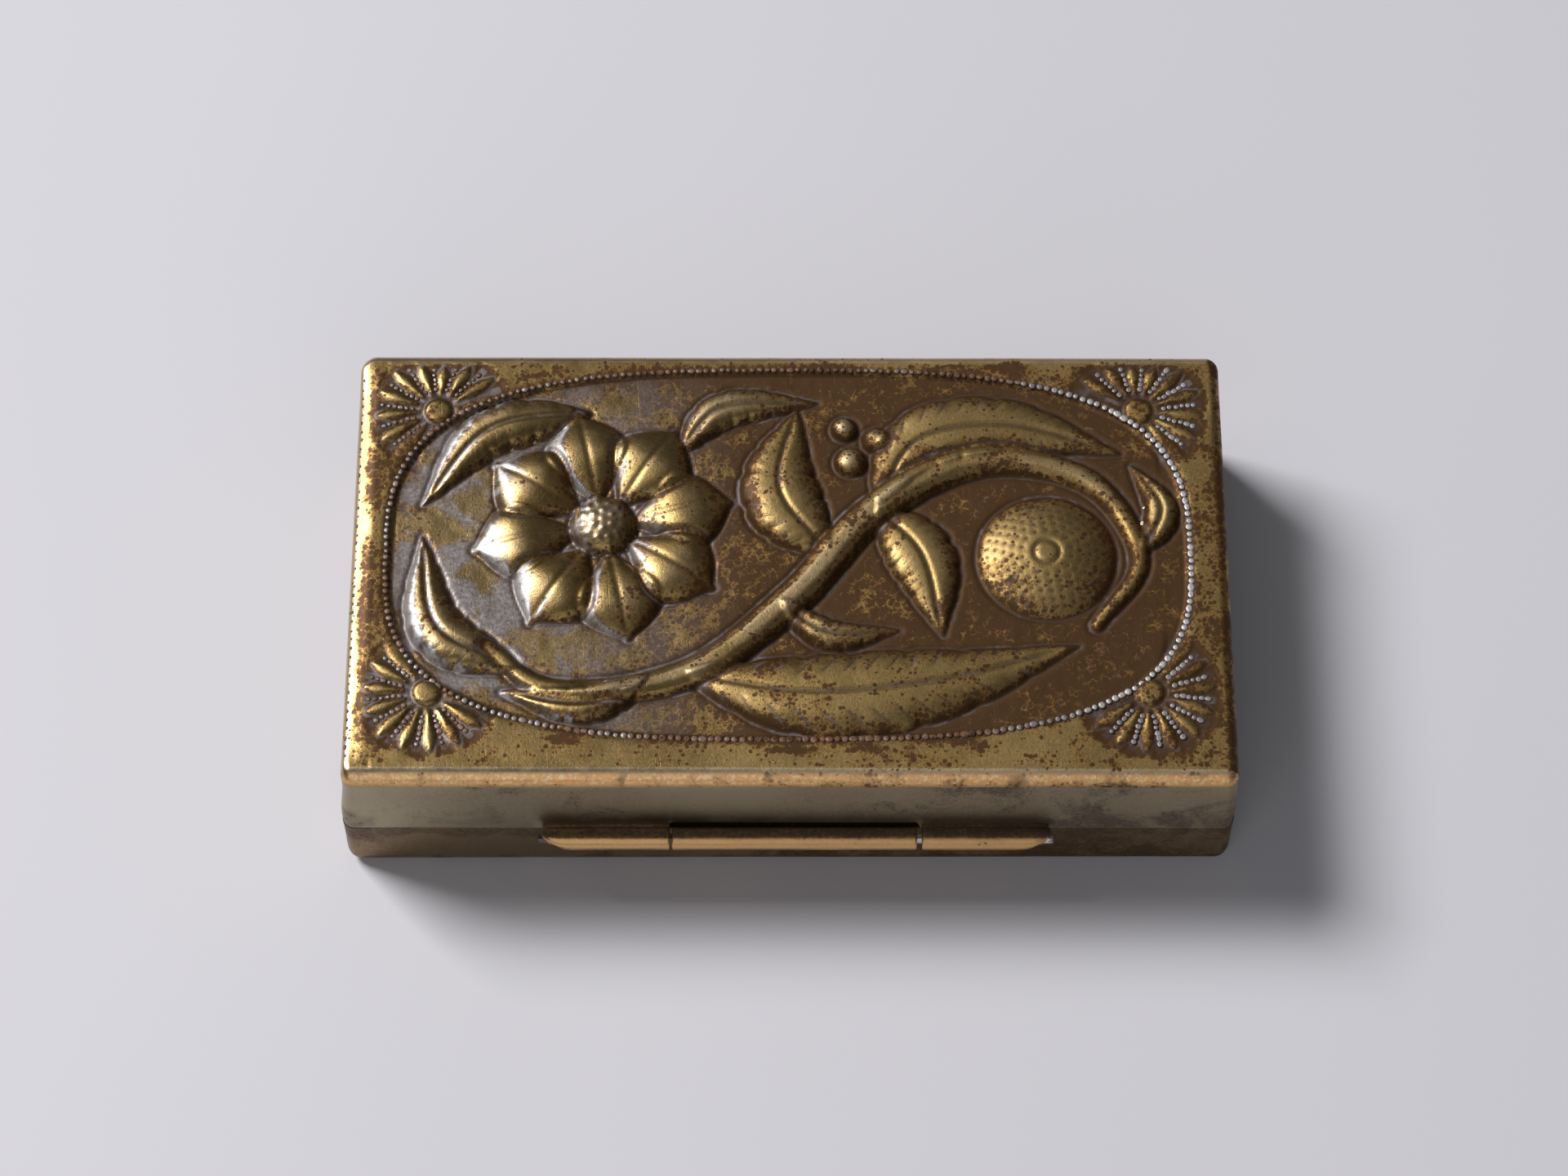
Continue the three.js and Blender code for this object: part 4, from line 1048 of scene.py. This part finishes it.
def makeBasePan():
    arris, high, thick, sheet = box["floorArris"], box["floorTurnUp"], box["baseWall"], box["floorSheet"]
    section = [(thick, high, 0), (thick, sheet + 0.7, 0), (thick + 0.2, sheet + 0.2, 0), (thick + 0.7, sheet, 0)]
    section += [(thick + 1.5, sheet, 0), (arris + 1.5, 0.0, 1)]
    under = len(section) - 1
    for k in range(9):
        turn = k / 8 * math.pi / 2
        section.append((arris * (1 - math.sin(turn)), arris * (1 - math.cos(turn)), math.sin(turn)))
    section.append((0.0, high, 1))
    rows = sweptStrip(section, baseLean, slit=False)
    columns = len(rows[0])
    points = np.vstack(rows)
    # the section is open between the floor's two faces: each is closed by one flat face
    faces = gridFaces(len(rows), columns, closeRows=True, closeColumns=True, flip=True)
    del faces[(under - 1) * columns : under * columns]
    faces.append(tuple(range((under - 1) * columns, under * columns)))
    faces.append(tuple(range(under * columns, (under + 1) * columns))[::-1])
    # darker towards the rounded bottom edge
    return points, faces, {"stainAndShade": 0.3 + 0.7 * smoothStep(2.0, 0.8, points[:, 2])}


# The bearing rim: a strip bent to a U, its ends short of the hinge wall
def makeRimStrip():
    low, high = box["seam"] - box["rimSeat"], box["seam"] + box["rimRise"]
    outer, thick = box["baseWall"] + 0.01, box["rimWall"]
    section = [(outer + thick, high - 0.12), (outer + thick, low), (outer, low)]
    section += [(outer, z) for z in wallHeights(low + 0.2, high - 0.15, 6)]
    section += [(outer + 0.15, high), (outer + thick - 0.15, high)]
    end = -halfY + box["cornerRadius"] + 1
    rings = [planOutline(inset) for inset, z in section]
    # every row keeps the same points, so the rows match
    kept = np.all([ring[:, 1] > end for ring in rings], axis=0)
    first = np.flatnonzero(~kept)[-1] + 1
    rows = []
    for (inset, z), ring in zip(section, rings):
        x = halfX - inset
        ring = np.vstack([[(x, end)], np.roll(ring, -first, axis=0)[: kept.sum()], [(-x, end)]])
        rows.append(np.column_stack([ring, np.full(len(ring), z)]))
    points, faces = stripMesh(rows)
    z = points[:, 2]
    stainAndShade = 0.6 * smoothStep(box["seam"] + 0.8, box["seam"], z)
    return points, faces, {"stainAndShade": stainAndShade, "wearAndHighlight": 0.9 * smoothStep(high - 0.5, high, z)}


makePiece("lidBand", makeLidBand(), "lid", "lid_band", wallBrass)
makePiece("baseBand", makeBaseBand(), "base", "base_band", baseBrass)
makePiece("basePan", makeBasePan(), "base", "base_pan", baseBrass)
makePiece("rimStrip", makeRimStrip(), "base", "rim_strip", insideBrass)
print("Walls, pan and bearing rim made")


# The hinge


# one length of tube: its section runs round the tube and out to the wall along a soldered foot
def knuckleSection(side):
    r, wall = knuckle["radius"], knuckle["radius"] + knuckle["standOff"] + knuckle["foot"]
    if side > 0:
        low, high = -knuckle["rise"] + 0.1, 0.45
    else:
        low, high = -0.9 - knuckle["rise"], -knuckle["rise"] - 0.1
    outer = []
    for k in range(knuckle["around"]):
        turn = k / knuckle["around"] * 2 * math.pi
        c, s = math.cos(turn), math.sin(turn)
        reach = r
        if c > 0:
            z = wall * s / c
            if low <= z <= high:
                reach = wall / c
            elif z > high and 0 < r * s < high:
                reach = high / s
            elif z < low and low < r * s < 0:
                reach = low / s
        outer.append((reach * c, reach * s))
    return np.array(outer)


# how far places round the hinge line lie towards the box and up
def towardsBox(across, up):
    return 0.875 * across + 0.485 * up


def roundHinge(x, ring):
    return np.column_stack([x, hingeY + ring[:, 0], hingeZ + ring[:, 1]])


def makeKnuckle(fromX, toX, side, mitreEnd, seed):
    section = knuckleSection(side)
    angle = np.arctan2(section[:, 1], section[:, 0])
    bore = knuckle["bore"] * np.column_stack([np.cos(angle), np.sin(angle)])

    # the free end of an outer knuckle slants in on the side away from the box
    def station(ring, share):
        away = np.clip(0.5 - towardsBox(*ring.T) / (2 * knuckle["radius"]), 0, 1)
        slant = knuckle["mitre"] * away**2.6
        low = fromX + slant * (mitreEnd < 0)
        high = toX - slant * (mitreEnd > 0)
        return low + (high - low) * share

    edge = knuckle["endRound"] / (toX - fromX)
    inner = np.linspace(0, 1, max(12, int((toX - fromX) / knuckle["station"])))[1:-1]
    shares = [0.0, 0.3 * edge, edge, 2.2 * edge, *inner, 1 - 2.2 * edge, 1 - edge, 1 - 0.3 * edge, 1.0]
    rows = []
    for share in shares:
        x = station(section, share)
        dent = knuckle["dent"] * (1 + patchNoise(x, angle * 1.3, 2.6, seed)) * (section[:, 0] < 0.8)
        radial = np.hypot(section[:, 0], section[:, 1])
        eased = 1 - 0.1 * max(0, 1 - min(share, 1 - share) / edge) ** 2
        tip = (1 - share if mitreEnd > 0 else share) * (toX - fromX)
        eased -= knuckle["tipTaper"] * (mitreEnd != 0) * max(0, 1 - tip / 1.2) ** 2.5
        rows.append(roundHinge(x, section * (eased * (radial - dent) / radial)[:, None]))
    rows += [roundHinge(station(bore, share), bore) for share in (1.0, 0.0)]
    points = np.vstack(rows)
    faces = gridFaces(len(rows), len(section), closeRows=True, closeColumns=True)
    # lighter on the side away from the box and underneath, rubbed wear together with a painted highlight, and darker
    # on top and against the wall, painted shade
    turned = towardsBox(*((points[:, 1:] - [hingeY, hingeZ]) / knuckle["radius"]).T)
    return points, faces, {"stainAndShade": 1.4 * smoothStep(0.05, 0.4, turned), "wearAndHighlight": smoothStep(0.3, -0.1, turned)}


hingeParts = (
    ("baseKnuckle", centreLow, centreHigh, -1, 0, "base", "base_knuckle", 5),
    ("lidKnuckleLeft", notchLow - knuckle["outer"], notchLow, 1, -1, "lid", "lid_knuckle_left", 15),
    ("lidKnuckleRight", notchHigh, notchHigh + knuckle["outer"], 1, 1, "lid", "lid_knuckle_right", 25),
)
for name, fromX, toX, side, mitreEnd, body, node, seed in hingeParts:
    makePiece(name, makeKnuckle(fromX, toX, side, mitreEnd, seed), body, node, hingeBrass)

pinEnd = ((0.01, 0.45), (0.05, 0.8), (0.15, 0.98), (0.4, 1.0))  # from the tip: distance, share of the radius

def makePin():
    low = notchLow - knuckle["outer"] - knuckle["pinProud"]
    high = notchHigh + knuckle["outer"] + knuckle["pinProud"]
    r = knuckle["pinRadius"]
    profile = [(low + x, r * share) for x, share in pinEnd]
    profile += [(x, r) for x in np.linspace(low + 2, high - 2, 12)]
    profile += [(high - x, r * share) for x, share in pinEnd[::-1]]
    around = 24
    turn = np.arange(around) / around * 2 * math.pi
    circle = np.column_stack([np.cos(turn), np.sin(turn)])
    rows = [roundHinge(np.full(around, x), radius * circle) for x, radius in profile]
    points = np.vstack([*rows, [(low, hingeY, hingeZ)], [(high, hingeY, hingeZ)]])
    faces = gridFaces(len(rows), around, closeColumns=True)
    first, last = len(points) - 2, len(points) - 1
    top = (len(rows) - 1) * around
    faces += [(first, (k + 1) % around, k) for k in range(around)]
    faces += [(last, top + k, top + (k + 1) % around) for k in range(around)]
    return points, faces, {}


makePiece("hingePin", makePin(), "lid", "hinge_pin", pinSteel)
print("Hinge made")


# The thumb lip, on the far side

lip = {
    "length": 13.0, "reach": 1.5, "thick": 0.9, "lift": 0.3, "stations": 40,
    # from the wall's foot round to its top: share of the reach, of the thickness
    "section": [(0.0, 0.0), (0.82, 0.0), (0.95, 0.1), (1.0, 0.3), (1.0, 0.62), (0.93, 0.86), (0.8, 0.98), (0.0, 1.0)],
}


def makeThumbLip():
    radius = (lip["length"] ** 2 / 4 + lip["reach"] ** 2) / (2 * lip["reach"])
    half = math.asin(lip["length"] / 2 / radius)
    turn = np.linspace(math.pi / 2 + half, math.pi / 2 - half, lip["stations"])
    bulge = lip["reach"] - radius + radius * np.sin(turn)
    rows = []
    for share, rise in lip["section"]:
        y = halfY - 0.3 * (share < 0.5) + bulge * share
        z = np.full(len(turn), box["seam"] + lip["lift"] + rise * lip["thick"])
        rows.append(np.column_stack([radius * np.cos(turn), y, z]))
    points = np.vstack(rows)
    wearAndHighlight = smoothStep(0.3, 1.2, points[:, 1] - halfY)
    return points, gridFaces(len(rows), len(turn), closeRows=True), {"stainAndShade": 0.6 * (1 - wearAndHighlight), "wearAndHighlight": wearAndHighlight}


makePiece("thumbLip", makeThumbLip(), "lid", "thumb_lip", hingeBrass)
print("Thumb lip made")

# Floor, light and camera

stageLook = {
    "floorColour": (0.745, 0.74, 0.79), "floorHalf": 6.0,
    "worldColour": (0.96, 0.965, 1.0), "worldStrength": 0.064,
}


def makeFloor():
    mesh = bpy.data.meshes.new("floor")
    size = stageLook["floorHalf"]
    mesh.from_pydata([(-size, -size, 0), (size, -size, 0), (size, size, 0), (-size, size, 0)], [], [(0, 1, 2, 3)])
    n = Nodes("floorPaper")
    mottle = n.ramp(n.noise(n.place(), 9.0, 3.0, 0.5), 0.3, 0.7)
    colour = n.mix(mottle, stageLook["floorColour"], tuple(c * 0.985 for c in stageLook["floorColour"]))
    mesh.materials.append(n.finished({"Base Color": colour, "Roughness": 0.55}))
    addObject("floor", mesh)


makeFloor()

world = bpy.data.worlds.new("studio")
bpy.context.scene.world = world
world.use_nodes = True
background = world.node_tree.nodes["Background"]
background.inputs["Color"].default_value = (*stageLook["worldColour"], 1)
background.inputs["Strength"].default_value = stageLook["worldStrength"]

lamps = {
    "keyBox": {"place": (-1011, 645, 1342), "size": 682, "power": 31.0, "colour": (1.0, 0.99, 0.985)},
    "frontFill": {"place": (-80, -690, 470), "size": 850, "power": 1.5, "colour": (0.98, 0.98, 1.0)},
}
for name, look in lamps.items():
    light = bpy.data.lights.new(name, "AREA")
    light.shape = "RECTANGLE"
    light.size = light.size_y = look["size"] * mm
    light.energy = look["power"]
    light.color = look["colour"]
    lamp = addObject(name, light)
    lamp.location = [v * mm for v in look["place"]]
    lamp.rotation_euler = (Vector((0, 0, 0.01)) - lamp.location).to_track_quat("-Z", "Y").to_euler()

view = {
    "pitch": math.radians(61.0), "distance": 494.9, "aimX": -0.44, "aimY": 7.39,
    "focalPixels": 5700.0, "sensor": 36.0, "frameWide": 1920,
}
camera = addObject("camera", bpy.data.cameras.new("camera"))
camera.data.sensor_width = view["sensor"]
camera.data.lens = view["focalPixels"] * view["sensor"] / view["frameWide"]
camera.data.clip_start = 0.01
camera.data.clip_end = 20
camera.location = (
    view["aimX"] * mm,
    (view["aimY"] - view["distance"] * math.cos(view["pitch"])) * mm,
    view["distance"] * math.sin(view["pitch"]) * mm,
)
camera.rotation_euler = (math.pi / 2 - view["pitch"], 0, 0)
bpy.context.scene.camera = camera
bpy.context.scene.view_settings.view_transform = "Standard"
print("Stage, lamps and camera set")
